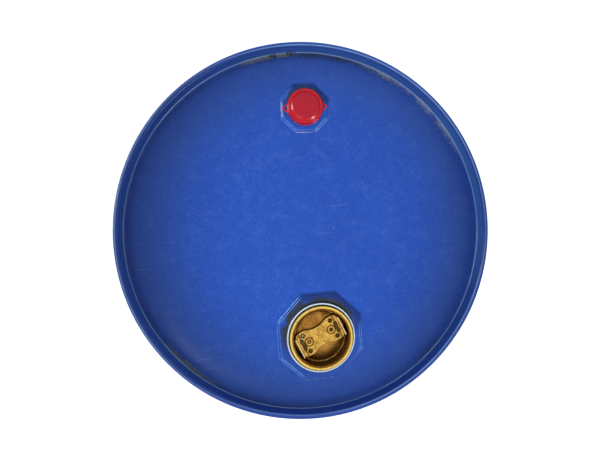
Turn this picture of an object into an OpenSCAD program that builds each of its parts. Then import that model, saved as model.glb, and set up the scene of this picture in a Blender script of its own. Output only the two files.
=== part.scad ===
// Tight-head steel drum of about 60 litres, with a two-inch and a three-quarter-inch bung.
// Frame: origin on the floor at the drum's axis, +Z up, the large bung towards -Y, the small one towards +Y.
// Head heights are given from the top of the chime, so they are negative below it.

/* [Drum] */
// Overall height over both chimes
overall_height = 620; // [500:1:780]
// Inner diameter of the body
body_inner_d = 366; // [300:1:480]
// Thickness of the body and head sheet
sheet = 0.9; // [0.8:0.1:1.2]
// Depth of the countersink below the chime's top
countersink = 15; // [14:0.5:20]
// Rise of the flat head panel above the countersink
panel_rise = 2; // [1:0.5:3]
// Width of the sloping shoulder between the countersink and the flat panel
shoulder_width = 26; // [16:1:34]
// Radius of the countersink's corner
countersink_radius = 2; // [1.5:0.5:4]
// Height of the folded seam
chime_height = 10; // [9:0.5:14]
// Outer radius of the chime's two top edges
chime_edge_radius = 1.8; // [1.2:0.1:2.2]
// Space between the layers of the folded seam
seam_gap = 0.15; // [0.1:0.05:0.25]
// Space left at the ends of the two hooks
hook_end_gap = 0.8; // [0.5:0.1:1.2]

/* [Rolling hoops] */
// Distance between the two hoops
hoop_spacing = 206; // [150:1:260]
// Height of one hoop
hoop_width = 32; // [24:1:44]
// How far a hoop stands out of the body
hoop_projection = 8; // [4:0.5:11]
// Width of the body's side weld
weld_width = 4; // [2:0.5:6]
// How far the side weld stands proud of the sheet
weld_rise = 0.25; // [0.1:0.05:0.4]
// Direction of the side weld
weld_angle = 128; // [0:1:359]

/* [Large bung] */
// Distance from the body's inner wall to the large bung's axis
large_inset = 73.7; // [70:0.1:90]
// Width over the flats of the large seat's foot
large_seat_flats = 86; // [80:0.5:94]
// Height of the large flange's lip
large_lip_z = -4.6; // [-6:0.1:-4]
// Pitch diameter of the large thread
large_thread_d = 58.135; // [48:0.001:62]
// Depth of the large plug's cup from its rim
large_plug_depth = 14; // [11:0.5:16]
// Width of the large plug's rim outside the thread
large_rim_reach = 2.83; // [2:0.01:3.2]
// Thickness of the large plug's gasket
large_gasket_t = 1.0; // [0.8:0.1:1.4]
// Thickness of the large plug's steel
large_plug_t = 1.5; // [1.2:0.1:1.8]

/* [Wrench plate] */
// Direction of the wrench plate's long axis
plate_turn = 23.4; // [0:0.1:90]
// Thickness of the wrench plate
plate_t = 1.5; // [1.2:0.1:2]
// Space under the wrench plate
plate_stand = 2.0; // [1:0.1:2.5]
// Width of the wrench plate at its ears
plate_width = 26; // [22:0.5:28]
// Width of the wrench plate at its waist
plate_waist = 19.6; // [14:0.1:21]
// Space between the lugs' outer faces and the cup's wall
lug_wall_space = 3.1; // [2:0.1:5]
// Width of a lug
lug_width = 21; // [16:0.5:22]
// Height of the lugs above the plate's top
lug_height = 6.5; // [4:0.5:8]

/* [Small bung] */
// Distance from the body's inner wall to the small bung's axis
small_inset = 59.6; // [52:0.1:70]
// Width over the flats of the small seat's foot
small_seat_flats = 49; // [46:0.5:54]
// Height of the small flange's lip
small_lip_z = -6.4; // [-7:0.1:-6]
// Pitch diameter of the small thread
small_thread_d = 25.279; // [21:0.001:27]
// Depth of the small plug's cup from its rim
small_plug_depth = 10; // [7:0.5:12]
// Width of the small plug's rim outside the thread
small_rim_reach = 2.3; // [1.8:0.1:2.6]
// Thickness of the small plug's gasket
small_gasket_t = 0.9; // [0.8:0.1:1.2]
// Thickness of the small plug's steel
small_plug_t = 1.3; // [1:0.1:1.5]

/* [Bung seats] */
// Height of the octagonal seats above the panel
seat_rise = 2; // [1.2:0.1:2.5]
// Width of a seat's sloping edge, seen from above
seat_slope = 2.4; // [1.5:0.1:3]
// Radial clearance between a plug and its flange
thread_clearance = 0.08; // [0.04:0.01:0.1]
// Clearance between a flange neck and the head's collar
neck_gap = 0.15; // [0.1:0.05:0.25]
// Fillet where a collar leaves its seat
collar_fillet = 2; // [1.2:0.1:2.4]
// Thickness of a flange's curled lip
lip_t = 0.8; // [0.6:0.1:1]
// Thickness of a flange's octagonal base
base_t = 2.5; // [2:0.1:3.5]
// Clearance between a flange's base and the seat's recess
base_clearance = 1; // [0.5:0.1:2]
// Thickness of the gaskets under the seats
flange_gasket_t = 1.0; // [0.6:0.1:1]

/* [Cap seal] */
// Wall thickness of the cap
cap_t = 0.9; // [0.8:0.1:1.2]
// Clearance between the cap and the small flange's lip
cap_clearance = 0.3; // [0.2:0.05:0.4]
// Clearance at the cap's snap ridge
snap_clearance = 0.12; // [0.1:0.01:0.2]
// Height of the cap's raised disc over its ledge
cap_disc_rise = 1.5; // [1:0.1:1.8]
// Radius of the cap's raised disc at its foot
cap_disc_r = 14.6; // [10:0.1:15]
// Distance from the cap's axis to an ear's tip
ear_reach = 24; // [22:0.1:26]
// Turn of the line through the two pull ears
ear_turn = 2; // [-90:1:90]

/* [Hidden] */
$fn = 96;

BLUE = [0.13, 0.27, 0.62];
ZINC = [0.75, 0.76, 0.78];
GOLD = [0.80, 0.58, 0.20];
RED = [0.80, 0.08, 0.12];
BLACK = [0.08, 0.08, 0.08];
GREY = [0.35, 0.36, 0.38];

// Folded seam, from the inside out: chuck wall, body wall, head hook, body hook and seam wall.
layer = sheet + seam_gap;
body_r = body_inner_d / 2;
body_mid_r = body_r + sheet / 2;
chuck_mid_r = body_mid_r - layer;
head_hook_mid_r = body_mid_r + layer;
seam_wall_mid_r = head_hook_mid_r + 2 * layer;
fold_r = layer;
fold_centre_z = -(sheet + seam_gap + sheet / 2 + fold_r);
lower_fold_z = -chime_height + fold_r + sheet / 2;
head_hook_end_z = fold_centre_z - hook_end_gap;
body_hook_end_z = lower_fold_z + hook_end_gap;

// Head panel and the two seats
panel_z = -countersink + panel_rise;
flat_r = chuck_mid_r - countersink_radius - shoulder_width;
seat_z = panel_z + seat_rise;
seat_slope_angle = atan2(seat_rise, seat_slope);
edge_steps = 6;
hoop_steps = 20;

// Plugs, flanges and the cap
large_at = [0, large_inset - body_r];
small_at = [0, body_r - small_inset];
large_plug_r = (large_thread_d - thread_clearance) / 2;
small_plug_r = (small_thread_d - thread_clearance) / 2;
large_bore_r = (large_thread_d + thread_clearance) / 2;
small_bore_r = (small_thread_d + thread_clearance) / 2;
large_neck_wall = 3.48;
small_neck_wall = 1.81;
large_neck_r = large_bore_r + large_neck_wall;
small_neck_r = small_bore_r + small_neck_wall;
large_lip_height = 1.4;
small_lip_height = 1.25;
large_hook_drop = 2;
small_hook_drop = 1.4;
large_rim_z = large_lip_z + large_gasket_t;
small_rim_z = small_lip_z + small_gasket_t;
large_floor_z = large_rim_z + large_plug_t - large_plug_depth;
small_floor_z = small_rim_z + small_plug_t - small_plug_depth;
gasket_margin = 0.3;
small_lip_r = lip_outer_r(small_neck_r);
cap_ledge_z = small_rim_z + small_plug_t + 0.3;
cap_foot_z = seat_z + 1;

// ---- Shared geometry ----

// Points along an arc from angle a0 to a1, both ends included.
function arc(cx, cy, r, a0, a1, n = edge_steps) =
    [for (i = [0:n]) let (a = a0 + (a1 - a0) * i / n) [cx + r * cos(a), cy + r * sin(a)]];

function unit(v) = v / norm(v);

function turned_left(v) = [-v[1], v[0]];

// The path without points that repeat the one before them.
function distinct(path) =
    [for (i = [0:len(path) - 1]) if (i == 0 || norm(path[i] - path[i - 1]) > 0.0001) path[i]];

// Offset direction at a path's point, lengthened so that the sheet keeps its thickness at a bend.
function offset_at(path, i) =
    let (
        last = len(path) - 1,
        before = turned_left(unit(path[max(i, 1)] - path[max(i, 1) - 1])),
        after = turned_left(unit(path[min(i, last - 1) + 1] - path[min(i, last - 1)])),
        middle = unit(before + after)
    )
    middle / (middle * before);

// Closed outline of a sheet of thickness t that follows the path.
function strip(path, t) =
    let (p = distinct(path), last = len(p) - 1)
    concat(
        [for (i = [0:last]) p[i] + offset_at(p, i) * t / 2],
        [for (i = [last:-1:0]) p[i] - offset_at(p, i) * t / 2]
    );

module revolve(outline) {
    rotate_extrude() polygon(outline);
}

module at_bung(at, z = overall_height) {
    translate([at[0], at[1], z]) children();
}

// Octagonal block whose flats lean in from apothem a0 at z0 to apothem a1 at z1.
module octagon_block(a0, z0, a1, z1) {
    translate([0, 0, z0])
        rotate(22.5)
            linear_extrude(height = z1 - z0, scale = a1 / a0)
                circle(r = a0 / cos(22.5), $fn = 8);
}

// ---- Body and heads ----

// Chime, countersink and panel of a head, as the middle line of its sheet; the chime's top is at 0.
function head_path() =
    let (
        edge_r = chime_edge_radius - sheet / 2,
        corner_r = countersink_radius + sheet / 2,
        corner_x = chuck_mid_r - corner_r,
        steps = 12
    )
    concat(
        [[0, panel_z - sheet / 2]],
        [for (i = [0:steps])
            [
                flat_r + (corner_x - flat_r) * i / steps,
                panel_z - sheet / 2 - panel_rise * (1 - cos(180 * i / steps)) / 2
            ]],
        arc(corner_x, -countersink + countersink_radius, corner_r, -90, 0),
        arc(chuck_mid_r + edge_r, -sheet / 2 - edge_r, edge_r, 180, 90),
        arc(seam_wall_mid_r - edge_r, -sheet / 2 - edge_r, edge_r, 90, 0),
        arc((seam_wall_mid_r + head_hook_mid_r) / 2, lower_fold_z, fold_r, 0, -180),
        [[head_hook_mid_r, head_hook_end_z]]
    );

// One rolling hoop centred at height z, walked downwards.
function hoop_path(z) =
    [for (i = [0:hoop_steps])
        [
            body_mid_r + hoop_projection * (1 - cos(360 * i / hoop_steps)) / 2,
            z + hoop_width * (0.5 - i / hoop_steps)
        ]];

function wall_path() =
    concat(
        hoop_path((overall_height + hoop_spacing) / 2),
        hoop_path((overall_height - hoop_spacing) / 2)
    );

function body_path() =
    concat(
        [[body_mid_r + 2 * layer, overall_height + body_hook_end_z]],
        arc(head_hook_mid_r, overall_height + fold_centre_z, fold_r, 0, 180),
        wall_path(),
        arc(head_hook_mid_r, -fold_centre_z, fold_r, 180, 360),
        [[body_mid_r + 2 * layer, -body_hook_end_z]]
    );

module body_shell() {
    weld_end = countersink + sheet + 1;
    weld_line = concat(
        [[body_mid_r, overall_height - weld_end]],
        wall_path(),
        [[body_mid_r, weld_end]]
    );
    weld_span = weld_width / body_mid_r * 180 / PI;
    color(BLUE) {
        revolve(strip(body_path(), sheet));
        rotate(weld_angle - weld_span / 2)
            rotate_extrude(angle = weld_span) polygon(strip(weld_line, sheet + 2 * weld_rise));
    }
}

// Collar that the head's metal forms round a flange's neck.
module collar(neck_r, top_z) {
    r = neck_r + neck_gap + sheet / 2;
    fillet = collar_fillet + sheet / 2;
    path = concat(
        [[r + fillet + 1, seat_z - sheet / 2]],
        arc(r + fillet, seat_z - sheet / 2 + fillet, fillet, 270, 180),
        [[r, top_z]]
    );
    revolve(strip(path, sheet));
}

module seat_outside(flats) {
    foot = flats / 2;
    run = seat_slope / seat_rise;
    buried = sheet / 2;
    octagon_block(foot + buried * run, panel_z - buried, foot - seat_slope, seat_z);
}

module seat_inside(flats, neck_r) {
    run = seat_slope / seat_rise;
    foot = flats / 2 - sheet / sin(seat_slope_angle);
    below = sheet + 1;
    octagon_block(foot + below * run, panel_z - below, foot - (seat_rise - sheet) * run, seat_z - sheet);
    cylinder(r = neck_r + neck_gap + sheet + collar_fillet, h = 60, center = true);
}

module top_head() {
    color(BLUE) {
        difference() {
            union() {
                translate([0, 0, overall_height]) revolve(strip(head_path(), sheet));
                at_bung(large_at) seat_outside(large_seat_flats);
                at_bung(small_at) seat_outside(small_seat_flats);
            }
            at_bung(large_at) seat_inside(large_seat_flats, large_neck_r);
            at_bung(small_at) seat_inside(small_seat_flats, small_neck_r);
        }
        at_bung(large_at) collar(large_neck_r, large_lip_z - large_lip_height - neck_gap);
        at_bung(small_at) collar(small_neck_r, small_lip_z - small_lip_height - neck_gap);
    }
}

module bottom_head() {
    color(BLUE) mirror([0, 0, 1]) revolve(strip(head_path(), sheet));
}

// Bead of sealing compound at the end of the head's hook.
module seam_sealant() {
    r = fold_r - sheet / 2 - 0.05;
    color(GREY)
        revolve(concat(
            arc(head_hook_mid_r, fold_centre_z, r, 0, 180),
            [
                [head_hook_mid_r - r, head_hook_end_z + 0.05],
                [head_hook_mid_r + r, head_hook_end_z + 0.05]
            ]
        ));
}

// ---- Flanges and gaskets ----

function lip_outer_r(neck_r) = neck_r + 2 * neck_gap + sheet + lip_t;

// Flange with its octagonal base under the seat and its lip curled over the head's collar.
module flange(neck_r, bore_r, lip_z, lip_height, hook_drop, flats) {
    base_z = seat_z - sheet - flange_gasket_t;
    apothem = flats / 2 - seat_slope - sheet - base_clearance;
    collar_z = lip_z - lip_height - neck_gap;
    lip_r = lip_outer_r(neck_r);
    edge = 1.1;
    color(ZINC) {
        revolve(concat(
            [
                [bore_r, base_z - base_t],
                [neck_r, base_z - base_t],
                [neck_r, collar_z + neck_gap],
                [lip_r - lip_t, collar_z + neck_gap],
                [lip_r - lip_t, collar_z - hook_drop],
                [lip_r, collar_z - hook_drop]
            ],
            arc(lip_r - edge, lip_z - edge, edge, 0, 90),
            [[bore_r + 0.4, lip_z], [bore_r, lip_z - 0.4]]
        ));
        translate([0, 0, base_z - base_t])
            difference() {
                rotate(22.5) cylinder(r = apothem / cos(22.5), h = base_t, $fn = 8);
                translate([0, 0, -1]) cylinder(r = (bore_r + neck_r) / 2, h = base_t + 2);
            }
    }
}

module flange_gasket(neck_r, flats) {
    inner = neck_r + neck_gap + sheet + collar_fillet + sheet / 2;
    outer = flats / 2 - seat_slope - sheet - base_clearance - 0.5;
    color(BLACK)
        translate([0, 0, seat_z - sheet - flange_gasket_t])
            difference() {
                cylinder(r = outer, h = flange_gasket_t);
                translate([0, 0, -1]) cylinder(r = inner, h = flange_gasket_t + 2);
            }
}

module plug_gasket(plug_r, rim_r, lip_z, t) {
    color(BLACK)
        translate([0, 0, lip_z])
            difference() {
                cylinder(r = rim_r + gasket_margin, h = t);
                translate([0, 0, -1]) cylinder(r = plug_r + gasket_margin, h = t + 2);
            }
}

// ---- Plugs ----

// Pressed cup with a flat rim; its thread is drawn as the pitch cylinder.
module plug_cup(plug_r, rim_r, rim_z, t, depth) {
    inner_r = plug_r - t;
    top_z = rim_z + t;
    floor_z = top_z - depth;
    mouth = 0.8 * t;
    heel = 1.3 * t;
    edge = 0.45 * t;
    revolve(concat(
        [[0, floor_z - t]],
        arc(plug_r - t, floor_z, t, -90, 0),
        [[plug_r, rim_z]],
        arc(rim_r - edge, rim_z + edge, edge, -90, 0),
        arc(rim_r - edge, top_z - edge, edge, 0, 90),
        arc(inner_r + mouth, top_z - mouth, mouth, 90, 180),
        arc(inner_r - heel, floor_z + heel, heel, 0, -90),
        [[0, floor_z]]
    ));
}

module large_plug() {
    color(GOLD)
        plug_cup(large_plug_r, large_plug_r + large_rim_reach, large_rim_z, large_plug_t, large_plug_depth);
}

module small_plug() {
    inner_r = small_plug_r - small_plug_t;
    key_reach = 2.2;
    key_width = 5;
    key_height = small_plug_depth - 3;
    color(GOLD) {
        plug_cup(small_plug_r, small_plug_r + small_rim_reach, small_rim_z, small_plug_t, small_plug_depth);
        for (side = [0, 180])
            rotate(side)
                translate([inner_r - key_reach, -key_width / 2, small_floor_z - small_plug_t / 2])
                    cube([key_reach + small_plug_t / 2, key_width, key_height + small_plug_t / 2]);
    }
}

// Plate welded across the large plug's cup, with two lugs that a bung wrench turns.
module wrench_plate() {
    cup_r = large_plug_r - large_plug_t;
    lug_mid = cup_r - lug_wall_space - plate_t / 2;
    under_z = large_floor_z + plate_stand;
    half = plate_width / 2;
    ear_end = lug_mid - 3.4;
    ear_cut = 2.5;
    waist_span = 12;
    waist_dip = (plate_width - plate_waist) / 2;
    waist_r = (waist_span * waist_span + waist_dip * waist_dip) / (2 * waist_dip);
    bend_r = 1.5;
    slot_r = 1.3;
    slot_half = 4;
    slot_x = lug_mid - 4.6;
    boss_x = lug_mid - 11;
    boss_r = 4.2;
    boss_dimple_r = 1.8;
    boss_dimple_depth = 1.1;
    foot_x = lug_mid - 7.9;
    foot_y = half - 4.2;
    foot_r = 2;
    foot_dimple_r = 2.2;
    foot_pip_r = 1;
    groove_half = 0.6;
    groove_depth = 0.5;
    top_z = under_z + plate_t;
    weld_depth = 0.2;
    color(GOLD)
        rotate(plate_turn) {
            difference() {
                translate([0, 0, under_z])
                    linear_extrude(height = plate_t)
                        difference() {
                            polygon([
                                [ear_end, -half], [ear_end + ear_cut, -half + ear_cut],
                                [ear_end + ear_cut, half - ear_cut], [ear_end, half],
                                [-ear_end, half], [-ear_end - ear_cut, half - ear_cut],
                                [-ear_end - ear_cut, -half + ear_cut], [-ear_end, -half]
                            ]);
                            for (sy = [1, -1])
                                translate([0, sy * (plate_waist / 2 + waist_r)]) circle(r = waist_r);
                        }
                // Relief slots at the lugs' roots and the marks that the welds left
                for (sx = [1, -1]) {
                    for (sy = [1, -1])
                        translate([sx * slot_x, sy * slot_half, under_z - 1])
                            cylinder(r = slot_r, h = plate_t + 2, $fn = 24);
                    translate([sx * slot_x - slot_r, -slot_half, under_z - 1])
                        cube([2 * slot_r, 2 * slot_half, plate_t + 2]);
                    translate([sx * boss_x, 0, top_z - groove_depth])
                        difference() {
                            cylinder(r = boss_r + groove_half, h = 2, $fn = 48);
                            translate([0, 0, -1]) cylinder(r = boss_r - groove_half, h = 4, $fn = 48);
                        }
                    translate([sx * boss_x, 0, top_z - boss_dimple_depth])
                        cylinder(r = boss_dimple_r, h = 3, $fn = 32);
                    for (sy = [1, -1])
                        translate([sx * foot_x, sy * foot_y, top_z - groove_depth])
                            difference() {
                                cylinder(r = foot_dimple_r, h = 2, $fn = 32);
                                translate([0, 0, -1]) cylinder(r = foot_pip_r, h = 4, $fn = 24);
                            }
                }
            }
            for (sx = [1, -1]) {
                translate([sx * boss_x, 0, large_floor_z])
                    cylinder(r = boss_r, h = plate_stand + weld_depth, $fn = 48);
                for (sy = [1, -1])
                    translate([sx * foot_x, sy * foot_y, large_floor_z])
                        cylinder(r = foot_r, h = plate_stand + weld_depth, $fn = 32);
                rotate(sx > 0 ? 0 : 180)
                    rotate([90, 0, 0])
                        linear_extrude(height = lug_width, center = true)
                            polygon(strip(concat(
                                [[ear_end + ear_cut - 2, under_z + plate_t / 2]],
                                arc(lug_mid - bend_r, under_z + plate_t / 2 + bend_r, bend_r, -90, 0),
                                [[lug_mid, top_z + lug_height]]
                            ), plate_t));
            }
        }
}

// ---- Cap seal ----

// Plastic cap pushed over the small flange's lip, with a raised disc and two pull ears.
module cap_seal() {
    inner_r = small_lip_r + cap_clearance;
    outer_r = inner_r + cap_t;
    band_r = outer_r + 0.5;
    band_height = 1.5;
    edge = 0.8;
    bevel = 1.7;
    snap_z = small_lip_z - small_lip_height - neck_gap - small_hook_drop - 0.1;
    ledge_top = cap_ledge_z + cap_t;
    disc_top = ledge_top + cap_disc_rise;
    ear_t = 1.2;
    wire = 1.4;
    ear_half = 5;
    color(RED) {
        revolve(concat(
            [[0, disc_top - cap_t]],
            [[cap_disc_r - bevel - cap_t * 0.4, disc_top - cap_t]],
            [[cap_disc_r - cap_t * 0.9, cap_ledge_z], [inner_r, cap_ledge_z]],
            [
                [inner_r, snap_z + 0.3],
                [small_lip_r + snap_clearance, snap_z],
                [small_lip_r + snap_clearance, snap_z - 0.2],
                [inner_r, snap_z - 0.4],
                [inner_r, cap_foot_z],
                [band_r, cap_foot_z],
                [band_r, cap_foot_z + band_height],
                [outer_r, cap_foot_z + band_height + 0.5]
            ],
            arc(outer_r - edge, ledge_top - edge, edge, 0, 90),
            [[cap_disc_r, ledge_top]],
            arc(cap_disc_r - bevel, disc_top - cap_disc_rise, cap_disc_rise, 45, 90),
            [[0, disc_top]]
        ));
        for (side = [0, 180])
            rotate(ear_turn + side)
                translate([0, 0, cap_foot_z])
                    linear_extrude(height = ear_t)
                        difference() {
                            polygon([
                                [outer_r - 0.3, -ear_half], [ear_reach, -0.8],
                                [ear_reach, 0.8], [outer_r - 0.3, ear_half]
                            ]);
                            polygon([
                                [band_r + 0.5, -ear_half + 2.2], [ear_reach - wire - 0.7, 0],
                                [band_r + 0.5, ear_half - 2.2]
                            ]);
                        }
    }
}

// ---- Nodes ----

body_shell();
top_head();
bottom_head();
translate([0, 0, overall_height]) seam_sealant();  // top_seam_sealant
mirror([0, 0, 1]) seam_sealant();  // bottom_seam_sealant
at_bung(large_at)  // large_flange
        flange(large_neck_r, large_bore_r, large_lip_z, large_lip_height, large_hook_drop, large_seat_flats);
at_bung(large_at) flange_gasket(large_neck_r, large_seat_flats);  // large_flange_gasket
at_bung(large_at) large_plug();
at_bung(large_at) plug_gasket(large_plug_r, large_plug_r + large_rim_reach, large_lip_z, large_gasket_t);  // large_plug_gasket
at_bung(large_at) wrench_plate();
at_bung(small_at)  // small_flange
        flange(small_neck_r, small_bore_r, small_lip_z, small_lip_height, small_hook_drop, small_seat_flats);
at_bung(small_at) flange_gasket(small_neck_r, small_seat_flats);  // small_flange_gasket
at_bung(small_at) small_plug();
at_bung(small_at) plug_gasket(small_plug_r, small_plug_r + small_rim_reach, small_lip_z, small_gasket_t);  // small_plug_gasket
at_bung(small_at) cap_seal();
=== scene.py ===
# %% [markdown]
# # A tight-head steel drum, seen from above
#
# The object is a 60-litre steel drum with a closed top: one large and one small bung, and a folded
# seam, the chime, round each end. A measured model of it already exists, and this script gives that
# model its looks. Sheet metal that shows is made again here as fine, smooth surfaces, because light
# runs along a folded edge or a shallow pressing, and a coarse mesh breaks it into facets. Everything
# is in metres and in the measured model's own frame, so each new piece goes where that model says.

# %% Load the measured model
import math
from functools import cached_property, reduce
from types import SimpleNamespace

import bmesh
import bpy
import numpy as np
from mathutils import Matrix, Vector


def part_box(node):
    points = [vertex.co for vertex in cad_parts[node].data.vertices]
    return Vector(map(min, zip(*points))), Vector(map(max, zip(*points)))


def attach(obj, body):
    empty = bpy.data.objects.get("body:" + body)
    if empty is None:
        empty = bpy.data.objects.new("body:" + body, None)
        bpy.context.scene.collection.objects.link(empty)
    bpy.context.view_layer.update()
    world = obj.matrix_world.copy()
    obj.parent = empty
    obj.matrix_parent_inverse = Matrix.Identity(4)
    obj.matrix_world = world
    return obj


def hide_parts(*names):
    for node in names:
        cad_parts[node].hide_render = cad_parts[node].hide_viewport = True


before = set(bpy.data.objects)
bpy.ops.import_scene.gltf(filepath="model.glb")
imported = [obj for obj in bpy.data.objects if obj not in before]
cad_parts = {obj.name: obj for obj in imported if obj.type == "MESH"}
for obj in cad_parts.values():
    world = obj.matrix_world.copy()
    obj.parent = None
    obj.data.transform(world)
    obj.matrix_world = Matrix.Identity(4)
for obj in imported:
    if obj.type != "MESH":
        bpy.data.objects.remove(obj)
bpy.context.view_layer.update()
MM = 0.001

# %% [markdown]
# ## The camera
#
# A drum's top is mostly looked at by somebody who stands over it, so the camera hangs close above the
# head, a little to one side, and leans back towards the middle. A short lens from close by is what
# makes the near side of the chime look wider than the far side. The camera could be aimed with a
# constraint, but three plain turns say more clearly how far it leans and how far it is rolled. The
# lens is shifted by a few per cent, which moves the drum in the frame without turning the camera.

# %% Place the camera
top_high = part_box("top_head")[1]
CAMERA_HEIGHT = 408.44 * MM
CAMERA_ASIDE = (-55.08 * MM, 2.27 * MM)
CAMERA_TURNS = [(-4.045, "Z"), (-9.628, "Y"), (1.164, "X")]

camera_data = bpy.data.cameras.new("camera")
camera_data.sensor_width = 36.0
camera_data.lens = 24.447
camera_data.shift_x, camera_data.shift_y = -0.0371, -0.0124
camera_data.clip_start = 0.01
camera = bpy.data.objects.new("camera", camera_data)
bpy.context.scene.collection.objects.link(camera)
aim = Matrix.Identity(4)
for degrees, axis in CAMERA_TURNS:
    aim = aim @ Matrix.Rotation(math.radians(degrees), 4, axis)
camera.matrix_world = Matrix.Translation((*CAMERA_ASIDE, top_high.z + CAMERA_HEIGHT)) @ aim
bpy.context.scene.camera = camera
print("camera stands", round(camera.location.z, 3), "m above the floor")

# %% [markdown]
# ## How finishes are made
#
# A finish is a small network of nodes: noise and positions go in, masks come out, and each mask says
# how much of one colour is laid over the colours below it. In the node editor that soon becomes a
# tangle of wires. Here a node's output is an Amount, and amounts can be added, subtracted and
# multiplied like plain numbers, so a mask reads as a formula and still becomes ordinary nodes.

# %% Amounts


def calculated(operation):
    """A method that joins an amount and a second one in a Math node."""
    return lambda one, other=0.0: one.finish.join("Math", operation, one, other)


class Amount:
    """A number or a vector that differs over the surface, held as the output of a node. +, - and *
    mean what they say, a | b is the larger of the two, and abs(a) leaves the sign out."""

    def __init__(self, finish, socket):
        self.finish = finish
        self.socket = socket

    __add__ = calculated("ADD")
    __sub__ = calculated("SUBTRACT")
    __mul__ = calculated("MULTIPLY")
    __or__ = calculated("MAXIMUM")
    __abs__ = calculated("ABSOLUTE")
    at_most = calculated("MINIMUM")

    def between(self, low, high):
        """0 below low and 1 above high, with a smooth rise between them; low may be the larger."""
        ends = (1.0, 0.0) if low > high else (0.0, 1.0)
        limits = {"From_Min": min(low, high), "From_Max": max(low, high)}
        smooth = {"interpolation_type": "SMOOTHSTEP"}
        return self.finish.amount(
            "MapRange", "Result", smooth, Value=self, **limits, To_Min=ends[0], To_Max=ends[1]
        )

    def close_to(self, middle, width):
        """1 where the amount is `middle`, falling smoothly to 0 at `width` to each side."""
        return abs(self - middle).between(width, 0.0)

    def vector(self, operation, other=None, output=0):
        """The result of a Vector Math node."""
        return self.finish.join("VectorMath", operation, self, other, output)

    def length(self):
        return self.vector("LENGTH", output="Value")

    def axes(self):
        """The x, y and z of a vector, as three amounts."""
        made = self.finish.node("SeparateXYZ", Vector=self)
        return [Amount(self.finish, socket) for socket in made.outputs]

    def towards(self, angle, inner, outer):
        """1 in the directions from the middle within `inner` degrees of `angle`, and 0 beyond
        `outer`: the cosine of the difference is the dot product of the two directions."""
        turn = math.radians(angle)
        direction = (math.cos(turn), math.sin(turn), 0.0)
        cosine = self.vector("NORMALIZE").vector("DOT_PRODUCT", direction, "Value")
        return cosine.between(math.cos(math.radians(outer)), math.cos(math.radians(inner)))

    def stain(self, ragged, angle, distance, size):
        """A blotch at (angle, distance) from the axis: the distance to its middle, made uneven by
        noise, fades from 1 to 0 over its size. Sizes and distances are in millimetres."""
        turn = math.radians(angle)
        middle = (distance * MM * math.cos(turn), distance * MM * math.sin(turn), 0.0)
        off = self.vector("DISTANCE", middle, "Value") + ragged
        return off.between(size * MM, size * 0.25 * MM)


def any_of(amounts):
    """The largest of several amounts at each point."""
    return reduce(lambda one, other: one | other, amounts)


# %% Finishes


class Finish:
    """The nodes of a material, or of another `owner`, made by short calls. `colour` is the colour so
    far, and each layer goes on top of it."""

    def __init__(self, name, colour=None, owner=None):
        self.owner = owner or bpy.data.materials.new(name)
        self.owner.use_nodes = True
        self.tree = self.owner.node_tree
        self.tree.nodes.clear()
        self.colour = colour

    def node(self, kind, settings=None, **inputs):
        """A new node. `settings` are its own properties, and `inputs` go to its sockets."""
        made = self.tree.nodes.new("ShaderNode" + kind)
        for key, value in (settings or {}).items():
            setattr(made, key, value)
        for key, value in inputs.items():
            self.feed(made.inputs[key.replace("_", " ")], value)
        return made

    def feed(self, socket, value):
        """Links a socket to an amount or a node, or sets it to a plain value."""
        if isinstance(value, Amount):
            self.tree.links.new(value.socket, socket)
        elif isinstance(value, bpy.types.Node):
            self.tree.links.new(value.outputs[0], socket)
        else:
            socket.default_value = (*value, 1.0) if socket.type == "RGBA" else value

    def amount(self, kind, output=0, settings=None, **inputs):
        """One output of a new node."""
        return Amount(self, self.node(kind, settings, **inputs).outputs[output])

    def join(self, kind, operation, first, second, output=0):
        """The result of an operation on two inputs, or on one."""
        made = self.node(kind, {"operation": operation})
        self.feed(made.inputs[0], first)
        if second is not None:
            self.feed(made.inputs[1], second)
        return Amount(self, made.outputs[output])

    @cached_property
    def place(self):
        """The position in the drum's own frame."""
        return self.amount("TexCoord", "Object")

    @cached_property
    def height(self):
        return self.place.axes()[2]

    @cached_property
    def flat(self):
        """The position with its height taken out, for marks that are drawn as seen from above."""
        return self.place.vector("MULTIPLY", (1.0, 1.0, 0.0))

    def around(self, bung):
        """The flat position counted from a bung's axis, and how far out it lies."""
        local = self.flat.vector("SUBTRACT", (bung.x, bung.y, 0.0))
        return local, local.length()

    def noise(self, scale, detail=3.0, roughness=0.5, distortion=0.0, place=None):
        place = self.place if place is None else place
        wanted = {"Scale": scale, "Detail": detail, "Roughness": roughness, "Distortion": distortion}
        return self.amount("TexNoise", "Fac", Vector=place, **wanted)

    def streaks(self, scales, detail, roughness, turn=0.0):
        """Noise with a scale of its own along x, y and z, turned some degrees about the z axis."""
        turned_by = (0.0, 0.0, math.radians(turn))
        place = self.amount("Mapping", Vector=self.place, Scale=scales, Rotation=turned_by)
        return self.noise(1.0, detail, roughness, place=place)

    def blend(self, amount, under, over):
        """Colour `over` laid on colour `under` by that amount."""
        made = self.node("Mix", {"data_type": "RGBA"})
        for index, value in ((0, amount), (6, under), (7, over)):
            self.feed(made.inputs[index], value)
        return Amount(self, made.outputs[2])

    def lay(self, colour, amount):
        """Lays one more colour over the colour so far, by that amount."""
        self.colour = self.blend(amount, self.colour, colour)

    def bump(self, height, distance, strength):
        return self.node("Bump", Height=height, Distance=distance, Strength=strength)

    def shade(self, roughness, normal, **plain):
        """The finished material. The `plain` values are the same all over it."""
        looks = {"Base_Color": self.colour, "Roughness": roughness, "Normal": normal}
        return self.surface(self.node("BsdfPrincipled", **looks, **plain))

    def surface(self, shader, output="OutputMaterial"):
        """Wires the shader to the output, and gives back the finished material."""
        self.node(output, Surface=shader)
        return self.owner


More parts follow.
